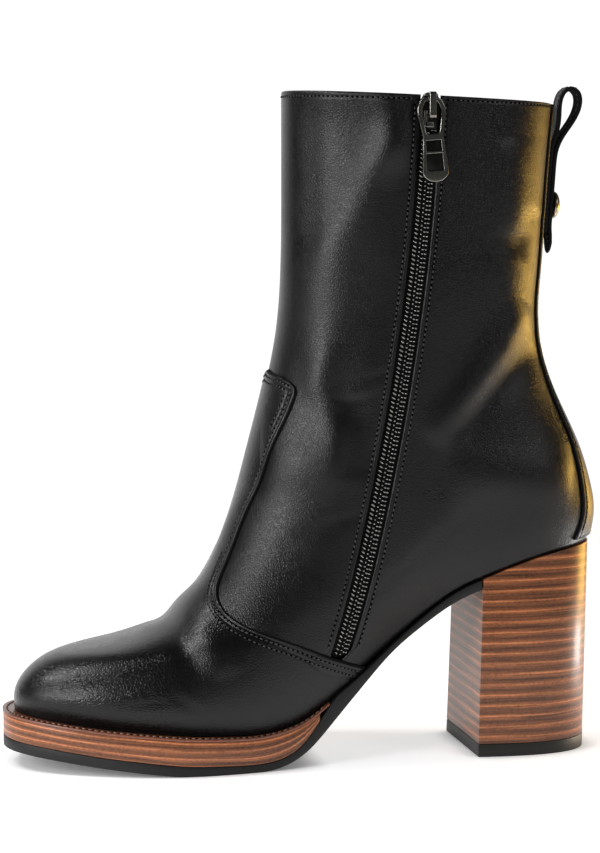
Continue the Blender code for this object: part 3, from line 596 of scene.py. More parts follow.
LIP_Z = np.linspace(24.0, 267.5, 180)
SLOT_TAPER, LIP_GAP = 2.0, 0.02      # the slot closes over this height; closed lips stay apart
OPEN = np.clip((LIP_Z - ZIP_END_Z + SLOT_TAPER) / SLOT_TAPER, 0, 1) * ZIP_SLOT / 2
FRONT_LIP = beside_zip(LIP_Z, OPEN + LIP_GAP)
BACK_LIP = beside_zip(LIP_Z, -OPEN - LIP_GAP)
print("The slot is", ZIP_SLOT, "mm wide and", round(LIP_Z[-1] - ZIP_END_Z), "mm high")

# %% Quarter sheet
LIP_SEAM, COLLAR_SEAM = 2.4, 1.7     # rows of stitches, from the lips and from the collar
TUBE_HEIGHT = 245.0                  # mm from the sole to the collar, where v runs from 0 to 1
COLLAR_ROUND, SOLE_EXTRA = 330.0, 330.0      # mm round the collar, and more at the sole


def tube_rows(w, rows):
    """v of each row from the sole to the collar, crowded over the collar's turned edge."""
    from_top = np.rint((1 - w) * rows)
    k = len(EDGE_STEPS) - 1
    edge = np.interp(from_top, np.arange(k + 1), EDGE_STEPS) / TUBE_HEIGHT
    below = EDGE_STEPS[k] / TUBE_HEIGHT
    return 1 - np.where(from_top <= k, edge, below + (1 - below) * (from_top - k) / (rows - k))


def slotted_tube(columns, rows, lift, turn, spread, lip_seams, collar_seams):
    """Tube over the last, open along the zip's slot, its lips and collar turned in."""
    def place(u, w):
        v = tube_rows(w, rows)
        start = np.interp(v, FRONT_LIP[1], FRONT_LIP[0]) + spread
        end = np.interp(v, BACK_LIP[1], BACK_LIP[0]) - spread + 1.0
        round_mm = COLLAR_ROUND + SOLE_EXTRA * (1 - v) ** 2
        run = crowded(u, columns, round_mm)
        tau = start + (end - start) * run / round_mm
        from_lip, from_collar = np.minimum(run, round_mm - run), (1 - v) * TUBE_HEIGHT
        face = np.minimum(rolled(from_lip, turn, lip_seams),
                          rolled(from_collar, turn, collar_seams))
        return skin(tau, v, lift + face - turn)
    made = sheet(columns, rows, place)
    bmesh.ops.reverse_faces(made, faces=made.faces)
    return made


made = slotted_tube(250, 180, 0.0, 0.9, 0.0, (LIP_SEAM,), (COLLAR_SEAM,))
quarter = piece("quarter", made, quarter_calf, ["upper"])
thicken(quarter, 0.8)

# %% [markdown]
# ## Lining
# Inside is a lining of thin soft leather, sewn to the quarter at the collar. It is the same
# tube, a little smaller and with a wider slot, so the zip's tape shows between the two.

# %% Lining
Grain = namedtuple("Grain", "kind output sockets strength depth_mm")


def mottled(name, dark, light, patch_mm, detail, grain, finish):
    """A material with slow patches of two colours, a fine grain in relief and a plain finish."""
    paint = new_paint(name)
    place = add(paint, "TexCoord", {}, {})
    patch = add(paint, "TexNoise", {},
                {"Vector": (place, "Object"), "Scale": 1000 / patch_mm, "Detail": detail})
    tone = add(paint, "Mix", {"data_type": "RGBA"},
               {0: (patch, "Fac"), 6: colour(dark), 7: colour(light)})
    height = add(paint, grain.kind, {}, {"Vector": (place, "Object"), **grain.sockets})
    bump = add(paint, "Bump", {}, {"Height": (height, grain.output), "Strength": grain.strength,
                                   "Distance": grain.depth_mm * MM})
    shader = add(paint, "BsdfPrincipled", {},
                 {"Base Color": (tone, 2), "Normal": (bump, 0), **finish})
    add(paint, "OutputMaterial", {}, {"Surface": (shader, 0)})
    return paint


# Soft unpolished goat: a dull warm grey-brown with fine pores.
goat_pores = Grain("TexVoronoi", "Distance", {"Scale": 1000 / 1.4}, 0.4, 0.1)
lining_goat = mottled("lining_goat", "#2b2623", "#3d3631", 18.0, 4.0, goat_pores,
                      {"Roughness": 0.68})
made = slotted_tube(120, 90, -1.0, 0.3, 0.004, (), ())
lining = piece("lining", made, lining_goat)
thicken(lining, 0.9)

# %% [markdown]
# ## Vamp
# The vamp covers the toe and the instep and ends above in a short tongue with round corners.
# On the real boot it lies over the quarter and is sewn along its edge. Its grid has a straight
# bottom row along the sole, two sides that follow the sewn edge, and a top row along the
# tongue, so the rows run with the edge and the edge can roll down to the quarter. A cut edge
# is inked black, so the outermost faces get an ink of their own, which is also painted shade
# for the shadow along the edge.

# %% Ink and painted shade on cut edges
def ink_and_painted_shade():
    """Edge ink and painted shade: a matt black coat brushed on the cut, also standing for the
    shadow along it, so an edge shows as a dark line.
    """
    paint = new_paint("edge_ink_and_shade")
    place = add(paint, "TexCoord", {}, {})
    brushed = add(paint, "TexNoise", {}, {"Vector": (place, "Object"), "Scale": 1000 / 2.0})
    tone = add(paint, "Mix", {"data_type": "RGBA"},
               {0: (brushed, "Fac"), 6: colour("#030303"), 7: colour("#080808")})
    shader = add(paint, "BsdfPrincipled", {},
                 {"Base Color": (tone, 2), "Roughness": 0.75, "Specular IOR Level": 0.2})
    add(paint, "OutputMaterial", {}, {"Surface": (shader, 0)})
    return paint


def ink_and_shade_edge(made, rings, slope):
    """Give the second material, ink and painted shade, to rings of faces along the open edges that
    climb by a slope.
    """
    rim = [edge for edge in made.edges if edge.is_boundary
           and abs(edge.verts[0].co.z - edge.verts[1].co.z) >= slope * edge.calc_length()]
    corners = {corner for edge in rim for corner in edge.verts}
    for _ in range(rings):
        faces = {face for corner in corners for face in corner.link_faces}
        corners = {corner for face in faces for corner in face.verts}
    for face in faces:
        face.material_index = 1


edge_ink_and_shade = ink_and_painted_shade()
print("Cut edges get", edge_ink_and_shade.name)

# %% Edge of the vamp
Edge = namedtuple("Edge", "x z")
VAMP_EDGE = (
    Edge(-5.4, 152.2), Edge(-5.2, 150.6), Edge(-5.9, 147.5), Edge(-8.0, 141.7), Edge(-10.3, 136.2),
    Edge(-17.3, 118.0), Edge(-24.3, 99.5), Edge(-29.5, 85.5), Edge(-33.6, 76.5), Edge(-36.2, 70.4),
    Edge(-36.6, 66.6), Edge(-34.9, 62.6), Edge(-30.5, 59.0), Edge(-22.0, 55.4), Edge(-9.0, 50.8),
    Edge(9.6, 43.4), Edge(22.0, 38.9),
)
TONGUE_TOP = (Edge(-13.5, 158.0), Edge(-9.6, 156.0), Edge(-7.0, 154.0), Edge(-5.4, 152.2))
edge_line = np.array(VAMP_EDGE[::-1])
edge_run = run_along(edge_line)
edge_curve = natural_spline(edge_run / edge_run[-1], edge_line)
EDGE_SHARE = np.linspace(0.0, 1.0, 160)
EDGE_TAU, EDGE_V = side_place(*edge_curve(EDGE_SHARE).T)
EDGE_V = np.maximum.accumulate(EDGE_V)
TOP_TAU, TOP_V = side_place(*np.array(TONGUE_TOP[::-1]).T)
TOP_SHARE = (TOP_TAU - TOP_TAU[0]) / (0.5 - TOP_TAU[0])
print("The vamp's sewn edge is", round(edge_run[-1]), "mm long on each side")

# %% Vamp sheet
VAMP_COLUMNS, VAMP_ROWS = 160, 170
VAMP_SEAMS = (2.4, 4.7)
TONGUE_TIGHT = 1.4     # the rows lie so much closer to the edge along the tongue's top
VAMP_THICK, OVERLAY_GAP = 1.35, 0.05
VAMP_ROUND, VAMP_TAPER = 560.0, 420.0    # mm round the last at the sole, and less at the collar
SINGLE_ROW = (0.55, 0.86)                # one row of stitches between these shares of the edge


def vamp_place(a, b):
    """tau, v and distance from the edge, for shares a across the vamp and b up its edge."""
    tau_edge = np.interp(b, EDGE_SHARE, EDGE_TAU)
    v_edge = np.interp(b, EDGE_SHARE, EDGE_V)
    width = 2 * (0.5 - tau_edge) * (VAMP_ROUND - VAMP_TAPER * v_edge)
    run = crowded(a, VAMP_COLUMNS, width)
    tau = tau_edge + (1 - 2 * tau_edge) * run / width
    across = np.abs(run / width - 0.5) * 2
    tip = np.interp(1 - across, TOP_SHARE, TOP_V) - EDGE_V[-1]
    v = v_edge + tip * b**6
    from_top = (1 - b) * edge_run[-1] * TONGUE_TIGHT
    return tau, v, np.minimum(np.minimum(run, width - run), from_top)


def vamp_points(u, w):
    """Points of the vamp's face."""
    b = crowded(w, VAMP_ROWS, edge_run[-1]) / edge_run[-1]
    tau, v, edge = vamp_place(u, b)
    second = np.clip((SINGLE_ROW[0] - b) / 0.05, 0, 1) + np.clip((b - SINGLE_ROW[1]) / 0.03, 0, 1)
    single, double = rolled(edge, VAMP_THICK, VAMP_SEAMS[:1]), rolled(edge, VAMP_THICK, VAMP_SEAMS)
    return skin(tau, v, OVERLAY_GAP + single + (double - single) * second)


made = sheet(VAMP_COLUMNS, VAMP_ROWS, vamp_points)
bmesh.ops.reverse_faces(made, faces=made.faces)
# the outermost faces get the matt black: ink on the cut, and painted shade along the edge
ink_and_shade_edge(made, 3, 0.0)
vamp = piece("vamp_sheet", made, vamp_calf, ["vamp"])
vamp.data.materials.append(edge_ink_and_shade)
thicken(vamp, 0.6)

# %% [markdown]
# ## Back stay
# A strip of leather covers the seam up the back, wide over the heel and narrow at the collar.
# It is a sheet over the last too, as wide as the table says at each height.

# %% Back stay sheet
Stay = namedtuple("Stay", "z half_width")
BACK_STAY = (Stay(60.0, 20.5), Stay(90.0, 20.5), Stay(110.0, 19.0), Stay(135.0, 15.5),
             Stay(165.0, 13.0), Stay(200.0, 12.0), Stay(290.0, 9.0))
STAY_COLUMNS, STAY_ROWS = 52, 150
STAY_SEAM, STAY_THICK = 2.1, 1.3
STAY_HEIGHT, STAY_CURVE = 200.0, 1.15    # mm up the back; it is so much wider than it looks
stay_width = natural_spline([row.z for row in BACK_STAY], [row.half_width for row in BACK_STAY])
STAY_V = np.linspace(0.0, 1.0, 120)
FAN = np.linspace(0.0, 0.16, 80)
stay_tau = []
for v in STAY_V:
    fan = surface(FAN, np.full(len(FAN), v))
    stay_tau.append(np.interp(float(stay_width(fan[0, 2])), -fan[:, 1], FAN))


def stay_points(u, w):
    """Points of the stay's face, from the inner edge to the outer."""
    v = 0.010 + 0.990 * tube_rows(w, STAY_ROWS)
    half = np.interp(v, STAY_V, stay_tau)
    width = 2 * stay_width(surface(np.zeros(len(v)), v)[:, 2]) * STAY_CURVE
    run = crowded(u, STAY_COLUMNS, width)
    edge = np.minimum(np.minimum(run, width - run), (1 - v) * STAY_HEIGHT)
    face = rolled(edge, STAY_THICK, (STAY_SEAM,))
    return skin(half * (1 - 2 * run / width), v, OVERLAY_GAP + face)


made = sheet(STAY_COLUMNS, STAY_ROWS, stay_points)
# the stay's steep edges get the matt black too: ink on the cut, and painted shade along the edge
ink_and_shade_edge(made, 2, 0.7)
stay = piece("stay_strip", made, stay_calf, ["back_stay"])
stay.data.materials.append(edge_ink_and_shade)
thicken(stay, 0.6)

# %% [markdown]
# ## Stitches
# A lockstitch shows as a row of short plump threads that dip into the leather at both ends. One
# low sphere, drawn out to a thread's length, is enough for each, because there are more than a
# thousand, and a smaller black one is painted shade where the needle's hole is. A copy is
# turned to lie along the seam and flat on the leather, and all stitches of one seam become one
# piece.

# %% Stitch helpers
Stitch = namedtuple("Stitch", "pitch length width")


def thread_or_hole_shade(name, tint, shade, gleam):
    """Waxed polyester thread: tightly twisted, so it has a soft shine and fine slanting ribs; in
    plain black it is also the painted shade of a needle hole.
    """
    paint = new_paint(name)
    place = add(paint, "TexCoord", {}, {})
    twist = add(paint, "TexWave", {"bands_direction": "DIAGONAL"},
                {"Vector": (place, "Object"), "Scale": 1000 / 2.2, "Distortion": 1.0})
    tone = add(paint, "Mix", {"data_type": "RGBA"},
               {0: (twist, "Fac"), 6: colour(shade), 7: colour(tint)})
    shader = add(paint, "BsdfPrincipled", {}, {"Base Color": (tone, 2), "Roughness": 0.55,
                                               "Specular IOR Level": gleam})
    add(paint, "OutputMaterial", {}, {"Surface": (shader, 0)})
    return paint


def frame_at(place, along, out):
    """Matrix whose X runs along a seam and whose Z points out of the leather; place in mm."""
    x = Vector(along).normalized()
    y = Vector(out).cross(x).normalized()
    return Matrix.Translation(Vector(place) * MM) @ Matrix((x, y, x.cross(y))).transposed().to_4x4()


def scatter(model, places):
    """One bmesh with a copy of the model bmesh at every matrix."""
    mesh = bpy.data.meshes.new("model")
    model.to_mesh(mesh)
    model.free()
    made = bmesh.new()
    for place in places:
        copy = mesh.copy()
        copy.transform(place)
        made.from_mesh(copy)
        bpy.data.meshes.remove(copy)
    bpy.data.meshes.remove(mesh)
    return made


def thread_model(stitch):
    """A stitch along X, half in the leather, and a black disc of painted shade for the needle hole
    that follows it.
    """
    made = bmesh.new()
    hole = bmesh.ops.create_uvsphere(made, u_segments=6, v_segments=4, radius=0.5)["verts"]
    bmesh.ops.scale(made, verts=hole, vec=(0.95 * MM, stitch.width * 1.25 * MM, 0.4 * MM))
    bmesh.ops.translate(made, verts=hole, vec=(stitch.pitch / 2 * MM, 0.0, 0.02 * MM))
    # painted shade: the black disc stands for the shadow inside the needle's hole
    for face in made.faces:
        face.material_index = 1
    thread = bmesh.ops.create_uvsphere(made, u_segments=6, v_segments=6, radius=0.5)["verts"]
    size = Vector((stitch.length, stitch.width, stitch.width * 0.8))
    bmesh.ops.scale(made, verts=thread, vec=size * MM)
    return made


black_thread = thread_or_hole_shade("black_waxed_thread", "#434346", "#202022", 0.4)
# painted shade: a flat black for the shadow in each needle hole
needle_hole_painted_shade = thread_or_hole_shade("needle_hole_painted_shade", "#020202", "#000000", 0.0)
print("Seams are sewn with", black_thread.name)


# %% Rows of stitches
def even_steps(points, pitch):
    """Points at an even pitch along a line, with their directions; all in mm."""
    points = np.asarray(points, float)
    run = run_along(points)
    stops = np.arange(pitch / 2, run[-1], pitch)
    near = 0.3      # so far before and behind a point its direction is taken

    def at(where):
        return np.stack([np.interp(where, run, axis) for axis in points.T], axis=1)

    return at(stops), at(stops + near) - at(stops - near)


def sew(name, seams, stitch, paint):
    """Sew rows of stitches. Each seam is a list of points and the outward normals there."""
    places = []
    for points, normals in seams:
        spots, ways = even_steps(points, stitch.pitch)
        gaps = np.linalg.norm(np.asarray(points)[None] - spots[:, None], axis=2)
        nearest = np.argmin(gaps, axis=1)
        places += [frame_at(spot, way, normals[i]) for spot, way, i in zip(spots, ways, nearest)]
    print(name, "is", len(places), "stitches")
    row = piece(name, scatter(thread_model(stitch), places), paint)
    row.data.materials.append(needle_hole_painted_shade)


UPPER_STITCH = Stitch(2.1, 1.35, 0.65)
print("The upper has a stitch every", UPPER_STITCH.pitch, "mm")

# %% [markdown]
# The upper is sewn with black thread: one row beside each lip of the zip, one under the collar,
# one along each edge of the back stay, and one inside the vamp's edge, which becomes two at the
# top of the tongue and where the edge bends down to the sole.

# %% Black seams of the upper
SUNK, PROUD = -0.02, 0.03      # rows lie so far from the face of the quarter, and of an overlay


def seam(tau, v, lift):
    """Points and normals of a row of stitches over the last."""
    return skin(tau, v, lift), surface_normal(tau, v)


zip_z = np.linspace(ZIP_END_Z + 3.0, 265.4, 300)
seam_off = ZIP_SLOT / 2 + LIP_SEAM
zip_seams = [seam(*beside_zip(zip_z, off), SUNK) for off in (seam_off, -seam_off)]
sew("zip_seams", zip_seams, UPPER_STITCH, black_thread)

collar_tau = np.linspace(FRONT_LIP[0][-1] + 0.008, BACK_LIP[0][-1] + 0.992, 420)
collar_v = np.full(len(collar_tau), 1 - COLLAR_SEAM / TUBE_HEIGHT)
collar_row = seam(collar_tau, collar_v, SUNK)
sew("collar_seam", [collar_row], UPPER_STITCH, black_thread)


def vamp_row(inset, low, high):
    """A row of stitches inside the vamp's edge on both sides, between two shares of its length."""
    share = np.linspace(low, high, 260)
    tau, v = np.interp(share, EDGE_SHARE, EDGE_TAU), np.interp(share, EDGE_SHARE, EDGE_V)
    edge = surface(tau, v)
    inward = np.cross(surface_normal(tau, v), np.gradient(edge, axis=0))
    spots = edge + inset * unit(inward)
    tau, v = side_place(spots[:, 0], spots[:, 2])
    return [seam(side, v, VAMP_THICK + PROUD) for side in (tau, 1 - tau)]


def tongue_row(inset):
    """A row of stitches inside the top of the tongue."""
    start = np.searchsorted(EDGE_STEPS, inset)
    a = np.arange(start, VAMP_COLUMNS - start + 1) / VAMP_COLUMNS
    tau, v, _ = vamp_place(a, np.full(len(a), 1 - inset / (edge_run[-1] * TONGUE_TIGHT)))
    return seam(tau, v, VAMP_THICK + PROUD)


vamp_rows = vamp_row(VAMP_SEAMS[0], 0.02, 0.985) + vamp_row(VAMP_SEAMS[1], 0.02, 0.53)
vamp_rows += vamp_row(VAMP_SEAMS[1], 0.87, 0.97) + [tongue_row(inset) for inset in VAMP_SEAMS]
sew("vamp_seams", vamp_rows, UPPER_STITCH, black_thread)

stay_v = np.linspace(0.02, 0.985, 260)
stay_half = np.interp(stay_v, STAY_V, stay_tau)
inset = 1 - STAY_SEAM / stay_width(surface(np.zeros(len(stay_v)), stay_v)[:, 2])
stay_rows = [seam(stay_half * inset * side, stay_v, STAY_THICK + PROUD) for side in (1, -1)]
sew("stay_seams", stay_rows, UPPER_STITCH, black_thread)

# %% [markdown]
# ## Zip
# The zip has a woven tape behind the slot, two columns of metal teeth that meet in the middle,
# a slider and a pull. The tape is a narrow sheet under the quarter. Its cloth is a herringbone
# weave far finer than a pixel, so the ribs are drawn about three times as coarse.

# %% Zip tape
def woven_tape_painted_shade():
    """Black polyester tape, darkened further as painted shade in the zip's slot: matt, with ribs
    across it.
    """
    paint = new_paint("woven_tape_painted_shade")
    place = add(paint, "TexCoord", {}, {})
    ribs = add(paint, "TexWave", {"bands_direction": "Z"},
               {"Vector": (place, "Object"), "Scale": 1000 / 6.0, "Distortion": 0.6})
    # near black: the tape's own black and painted shade of the slot in one colour
    tone = add(paint, "Mix", {"data_type": "RGBA"},
               {0: (ribs, "Fac"), 6: colour("#030303"), 7: colour("#08080a")})
    bump = add(paint, "Bump", {}, {"Height": (ribs, "Fac"), "Strength": 0.5, "Distance": 0.12 * MM})
    shader = add(paint, "BsdfPrincipled", {},
                 {"Base Color": (tone, 2), "Roughness": 0.9, "Specular IOR Level": 0.2,
                  "Normal": (bump, 0)})
    add(paint, "OutputMaterial", {}, {"Surface": (shader, 0)})
    return paint


TAPE_LOW, TAPE_HIGH = 44.0, 267.0
TAPE_WIDTH, TAPE_DEPTH = 20.0, 1.35      # it lies so deep under the quarter's face


def tape_points(u, w):
    """Points of the tape behind the slot."""
    tau, v = beside_zip(TAPE_LOW + (TAPE_HIGH - TAPE_LOW) * w, TAPE_WIDTH * (0.5 - u))
    return skin(tau, v, -TAPE_DEPTH)


tape = piece("tape", sheet(10, 140, tape_points), woven_tape_painted_shade(), ["zip_tape"])
thicken(tape, 0.35)

# %% [markdown]
# A tooth grips the tape with a bar and locks between two teeth of the other side with a round
# head. The bars of one column slant and those of the other have two swellings, so each kind of
# tooth is two low spheres drawn out to its size, a few dozen faces. The columns are half a step
# out of line.

# %% Zip teeth
def plated(name, dark, bright, stain_mm, detail, rough):
    """Plated metal with stains: dark and dull to bright and polished, as rough says."""
    paint = new_paint(name)
    place = add(paint, "TexCoord", {}, {})
    stain = add(paint, "TexNoise", {},
                {"Vector": (place, "Object"), "Scale": 1000 / stain_mm, "Detail": detail})
    tone = add(paint, "Mix", {"data_type": "RGBA"},
               {0: (stain, "Fac"), 6: colour(dark), 7: colour(bright)})
    dull = add(paint, "MapRange", {},
               {"Value": (stain, "Fac"), "To Min": rough[0], "To Max": rough[1]})
    shader = add(paint, "BsdfPrincipled", {},
                 {"Base Color": (tone, 2), "Roughness": (dull, 0), "Metallic": 1.0})
    add(paint, "OutputMaterial", {}, {"Surface": (shader, 0)})
    return paint


def swelling(made, centre, size, turn):
    """A low sphere drawn out to a size, turned about Z and set at a place; mm."""
    corners = bmesh.ops.create_uvsphere(made, u_segments=8, v_segments=5, radius=0.5)["verts"]
    bmesh.ops.scale(made, verts=corners, vec=Vector(size) * MM)
    bmesh.ops.rotate(made, verts=corners, matrix=Matrix.Rotation(math.radians(turn), 3, "Z"))
    bmesh.ops.translate(made, verts=corners, vec=Vector(centre) * MM)


def front_tooth():
    """Tooth on the toe's side: a slanting lozenge and a head in the middle; it reaches along +X."""
    made = bmesh.new()
    swelling(made, (2.1, 0.0, 0.0), (2.0, 0.85, 1.1), -28)
    swelling(made, (0.15, 0.2, 0.1), (0.85, 0.85, 0.9), 0)
    return made


def back_tooth():
    """Tooth on the heel's side: a bar with two swellings; it reaches along +X."""
    made = bmesh.new()
    swelling(made, (1.25, 0.0, 0.0), (1.25, 0.85, 1.1), 0)
    swelling(made, (2.45, 0.0, 0.0), (1.2, 0.85, 1.1), 0)
    return made


TOOTH_PITCH, TEETH_DEPTH = 1.75, 0.75
chain_z = np.linspace(ZIP_END_Z + 0.5, 262.0, 500)
chain_tau, chain_v = beside_zip(chain_z, np.zeros(len(chain_z)))
chain_line = skin(chain_tau, chain_v, -TEETH_DEPTH)
chain_out = surface_normal(chain_tau, chain_v)
spots, ways = even_steps(chain_line, TOOTH_PITCH / 2)
columns = [], []
for i, (spot, way) in enumerate(zip(spots, ways)):
    out = chain_out[np.argmin(np.linalg.norm(chain_line - spot, axis=1))]
    columns[i % 2].append(frame_at(spot, np.cross(way, out) * (1 if i % 2 else -1), out))
blackened_brass = plated("blackened_brass", "#807f7c", "#a8a7a2", 4.0, 1.0, (0.22, 0.32))
piece("teeth_front", scatter(front_tooth(), columns[0]), blackened_brass,
      ["zip_chain"])
piece("teeth_back", scatter(back_tooth(), columns[1]), blackened_brass)
print(len(spots), "teeth,", TOOTH_PITCH, "mm apart on each side")

# %% [markdown]
# The slider and the pull are cast and plated in gunmetal. The slider is a shield plate with a
# bridge over it. Both are drawn as flat outlines of a few vertices, filled, pushed to their
# thickness and bevelled, because a cast edge is never sharp and catches a bright line.

# %% Zip slider
gunmetal = plated("gunmetal_plate", "#77766f", "#97968f", 4.0, 1.0, (0.15, 0.25))
black_nickel = plated("black_nickel", "#232322", "#3b3b39", 4.0, 1.0, (0.29, 0.39))
FACE_Y = -39.43          # the quarter's outside behind the slider
SLIDER_X, SLIDER_LOW, SLIDER_HIGH = 45.3, 255.2, 270.0


def plate(made, shape, push, soften):
    """Fill a flat shape, push it along a vector and soften its edges; points in mm."""
    corners = [made.verts.new(Vector(point) * MM) for point in shape]
    face = made.faces.new(corners)
    grown = bmesh.ops.extrude_face_region(made, geom=[face])["geom"]
    moved = [part for part in grown if isinstance(part, bmesh.types.BMVert)]
    bmesh.ops.translate(made, verts=moved, vec=Vector(push) * MM)
    bmesh.ops.recalc_face_normals(made, faces=made.faces)
    whole = {edge for corner in corners + moved for edge in corner.link_edges}
    sharp = [edge for edge in whole if edge.calc_face_angle(0.0) > math.radians(30)]
    bmesh.ops.bevel(made, geom=sharp, offset=soften * MM, segments=3, profile=0.5, affect="EDGES",
                    material=-1)


def mirrored(half):
    """A closed outline from one half of it, without doubling a point on the middle line."""
    return list(half) + [(-a, b) for a, b in half[::-1] if a]


SIDE, SHOULDER = ZIP_SLOT / 2 - 0.4, 0.7 * (ZIP_SLOT / 2 - 0.4)
SHIELD = mirrored(((-SHOULDER, SLIDER_HIGH - 0.8), (-SIDE, SLIDER_HIGH - 2.8),
                   (-SIDE, SLIDER_LOW + 5.0), (-SHOULDER, SLIDER_LOW)))
BRIDGE_LOW = SLIDER_LOW + 4.2
BRIDGE = ((1.4, BRIDGE_LOW), (5.7, BRIDGE_LOW), (6.4, BRIDGE_LOW + 0.8), (6.4, SLIDER_HIGH - 1.0),
          (5.7, SLIDER_HIGH - 0.2), (1.4, SLIDER_HIGH - 0.2), (1.4, SLIDER_HIGH - 1.5),
          (4.9, SLIDER_HIGH - 1.5), (4.9, BRIDGE_LOW + 1.3), (1.4, BRIDGE_LOW + 1.3))
ARM = ((-2.9, SLIDER_LOW + 7.4), (-2.8, SLIDER_LOW + 0.6), (-1.4, SLIDER_LOW + 0.6),
       (-1.5, SLIDER_LOW + 7.4))
CLASP = ((-2.5, SLIDER_LOW + 2.8), (-2.4, SLIDER_LOW + 0.6), (1.0, SLIDER_LOW + 0.6),
         (1.2, SLIDER_LOW + 2.8))
HOOD = ((-2.9, SLIDER_HIGH - 1.9), (2.9, SLIDER_HIGH - 1.9), (2.6, SLIDER_HIGH - 1.0),
        (1.6, SLIDER_HIGH - 0.5), (0.0, SLIDER_HIGH - 0.3), (-1.6, SLIDER_HIGH - 0.5),
        (-2.6, SLIDER_HIGH - 1.0))
made = bmesh.new()
plate(made, [(SLIDER_X + a, FACE_Y + 0.2, b) for a, b in SHIELD], (0.0, -1.6, 0.0), 0.5)
piece("slider", made, black_nickel, ["zip_slider"], sharp=40)
made = bmesh.new()
plate(made, [(SLIDER_X - 1.4, FACE_Y - rise, z) for rise, z in BRIDGE], (2.8, 0.0, 0.0), 0.35)
for shape, back, thick in ((ARM, 1.3, 1.1), (CLASP, 1.3, 1.1), (HOOD, 0.5, 2.4)):
    plate(made, [(SLIDER_X + a, FACE_Y - back, b) for a, b in shape], (0.0, -thick, 0.0), 0.3)
piece("slider_bridge", made, gunmetal, sharp=40)

# %% [markdown]
# The pull is a ring that hangs in the bridge over a frame with two windows. A flat curve with
# holes in it can be filled, thickened and given round edges by Blender itself, so the outlines
# are drawn as curves and then made a mesh.

# %% Zip pull
PIVOT = Edge(44.8, 267.0)
PULL_LEAN = math.radians(4.2)
PULL_RISE, PULL_THICK = 3.3, 1.6
PULL_BODY = ((2.4, 0.75), (4.4, -0.6), (5.7, -3.6), (5.7, -6.6), (4.9, -10.6), (4.2, -14.6),
             (4.3, -17.0), (5.3, -29.2), (4.6, -30.8), (2.6, -32.4), (0.0, -32.9))
PULL_HOLES = (
    ((2.2, -1.0), (3.2, -2.4), (3.9, -4.3), (3.8, -6.8), (3.1, -11.0), (2.7, -13.2), (2.1, -13.9)),
    ((3.0, -16.4), (3.1, -20.6)),
    ((3.2, -21.6), (3.4, -28.4)),
)
BRIM = 0.38


def left_of(way):
    """Unit vectors at the left of flat vectors."""
    return unit(np.stack([-way[:, 1], way[:, 0]], axis=1))


def pull_outline(half, shrink):
    """Closed outline from its right half, drawn in by the round edge that is added later."""
    points = np.array(mirrored(half))
    first = left_of(points - np.roll(points, 1, axis=0))
    second = left_of(np.roll(points, -1, axis=0) - points)
    normal = unit(first + second)
    reach = np.maximum(0.5, np.abs(normal * first).sum(axis=1))
    return points + normal * (shrink / reach)[:, None]


drawing = bpy.data.curves.new("pull_drawing", "CURVE")
drawing.dimensions = "2D"
drawing.fill_mode = "BOTH"
drawing.extrude = (PULL_THICK / 2 - BRIM) * MM
drawing.bevel_depth = BRIM * MM
drawing.bevel_resolution = 3
for half_line, shrink in [(PULL_BODY, -BRIM)] + [(hole, BRIM) for hole in PULL_HOLES]:
    points = pull_outline(half_line, shrink)
    spline = drawing.splines.new("POLY")
    spline.points.add(len(points) - 1)
    for point, (a, b) in zip(spline.points, points):
        point.co = (a * MM, b * MM, 0.0, 1.0)
    spline.use_cyclic_u = True
draft = bpy.data.objects.new("pull_draft", drawing)
bpy.context.scene.collection.objects.link(draft)
bpy.context.view_layer.update()
flat = bpy.data.meshes.new_from_object(draft.evaluated_get(bpy.context.evaluated_depsgraph_get()))
bpy.data.objects.remove(draft)
bpy.data.curves.remove(drawing)
made = bmesh.new()
made.from_mesh(flat)
bpy.data.meshes.remove(flat)
bmesh.ops.remove_doubles(made, verts=made.verts, dist=0.00001)
bmesh.ops.rotate(made, verts=made.verts, matrix=Matrix.Rotation(PULL_LEAN, 3, "Z"))
bmesh.ops.rotate(made, verts=made.verts, matrix=Matrix.Rotation(math.radians(90), 3, "X"))
bmesh.ops.translate(made, verts=made.verts, vec=Vector((PIVOT.x, FACE_Y - PULL_RISE, PIVOT.z)) * MM)
bmesh.ops.recalc_face_normals(made, faces=made.faces)
piece("pull", made, gunmetal, ["zip_pull"], body="pull_tab", sharp=40)

# %% [markdown]
# Behind the two windows the pull is closed by a thin black plate, so no teeth show through.

# %% Backing of the pull
BACKING = ((3.7, -15.9), (4.1, -28.9))
lean = Matrix.Rotation(-PULL_LEAN, 3, "Y")
face = [Vector((a, 0.0, b)) for a, b in mirrored(BACKING)]
hang = Vector((PIVOT.x, FACE_Y - PULL_RISE + 0.7, PIVOT.z))
made = bmesh.new()
plate(made, [lean @ corner + hang for corner in face], (0.0, -0.5, 0.0), 0.1)
piece("pull_backing", made, black_nickel, body="pull_tab", sharp=40)

# %% [markdown]
# ## Sole
# The welt, the platform and the outsole are layers of one outline, each with its own upper and
# lower curve. Every layer starts as a grid over that outline, which is pushed up to the layer's
# top and bevelled along its rims. The outline is the feather line of the last plus a ledge.

# %% Outline of the sole
LEDGE = np.array([0.6, 0.8, 1.8, 5.0, 7.0, 6.2, 5.2])   # heel to toe, in mm
HEEL_LEDGE, TOE_LEDGE = 0.6, 6.0
FIRST = SECTIONS[0]


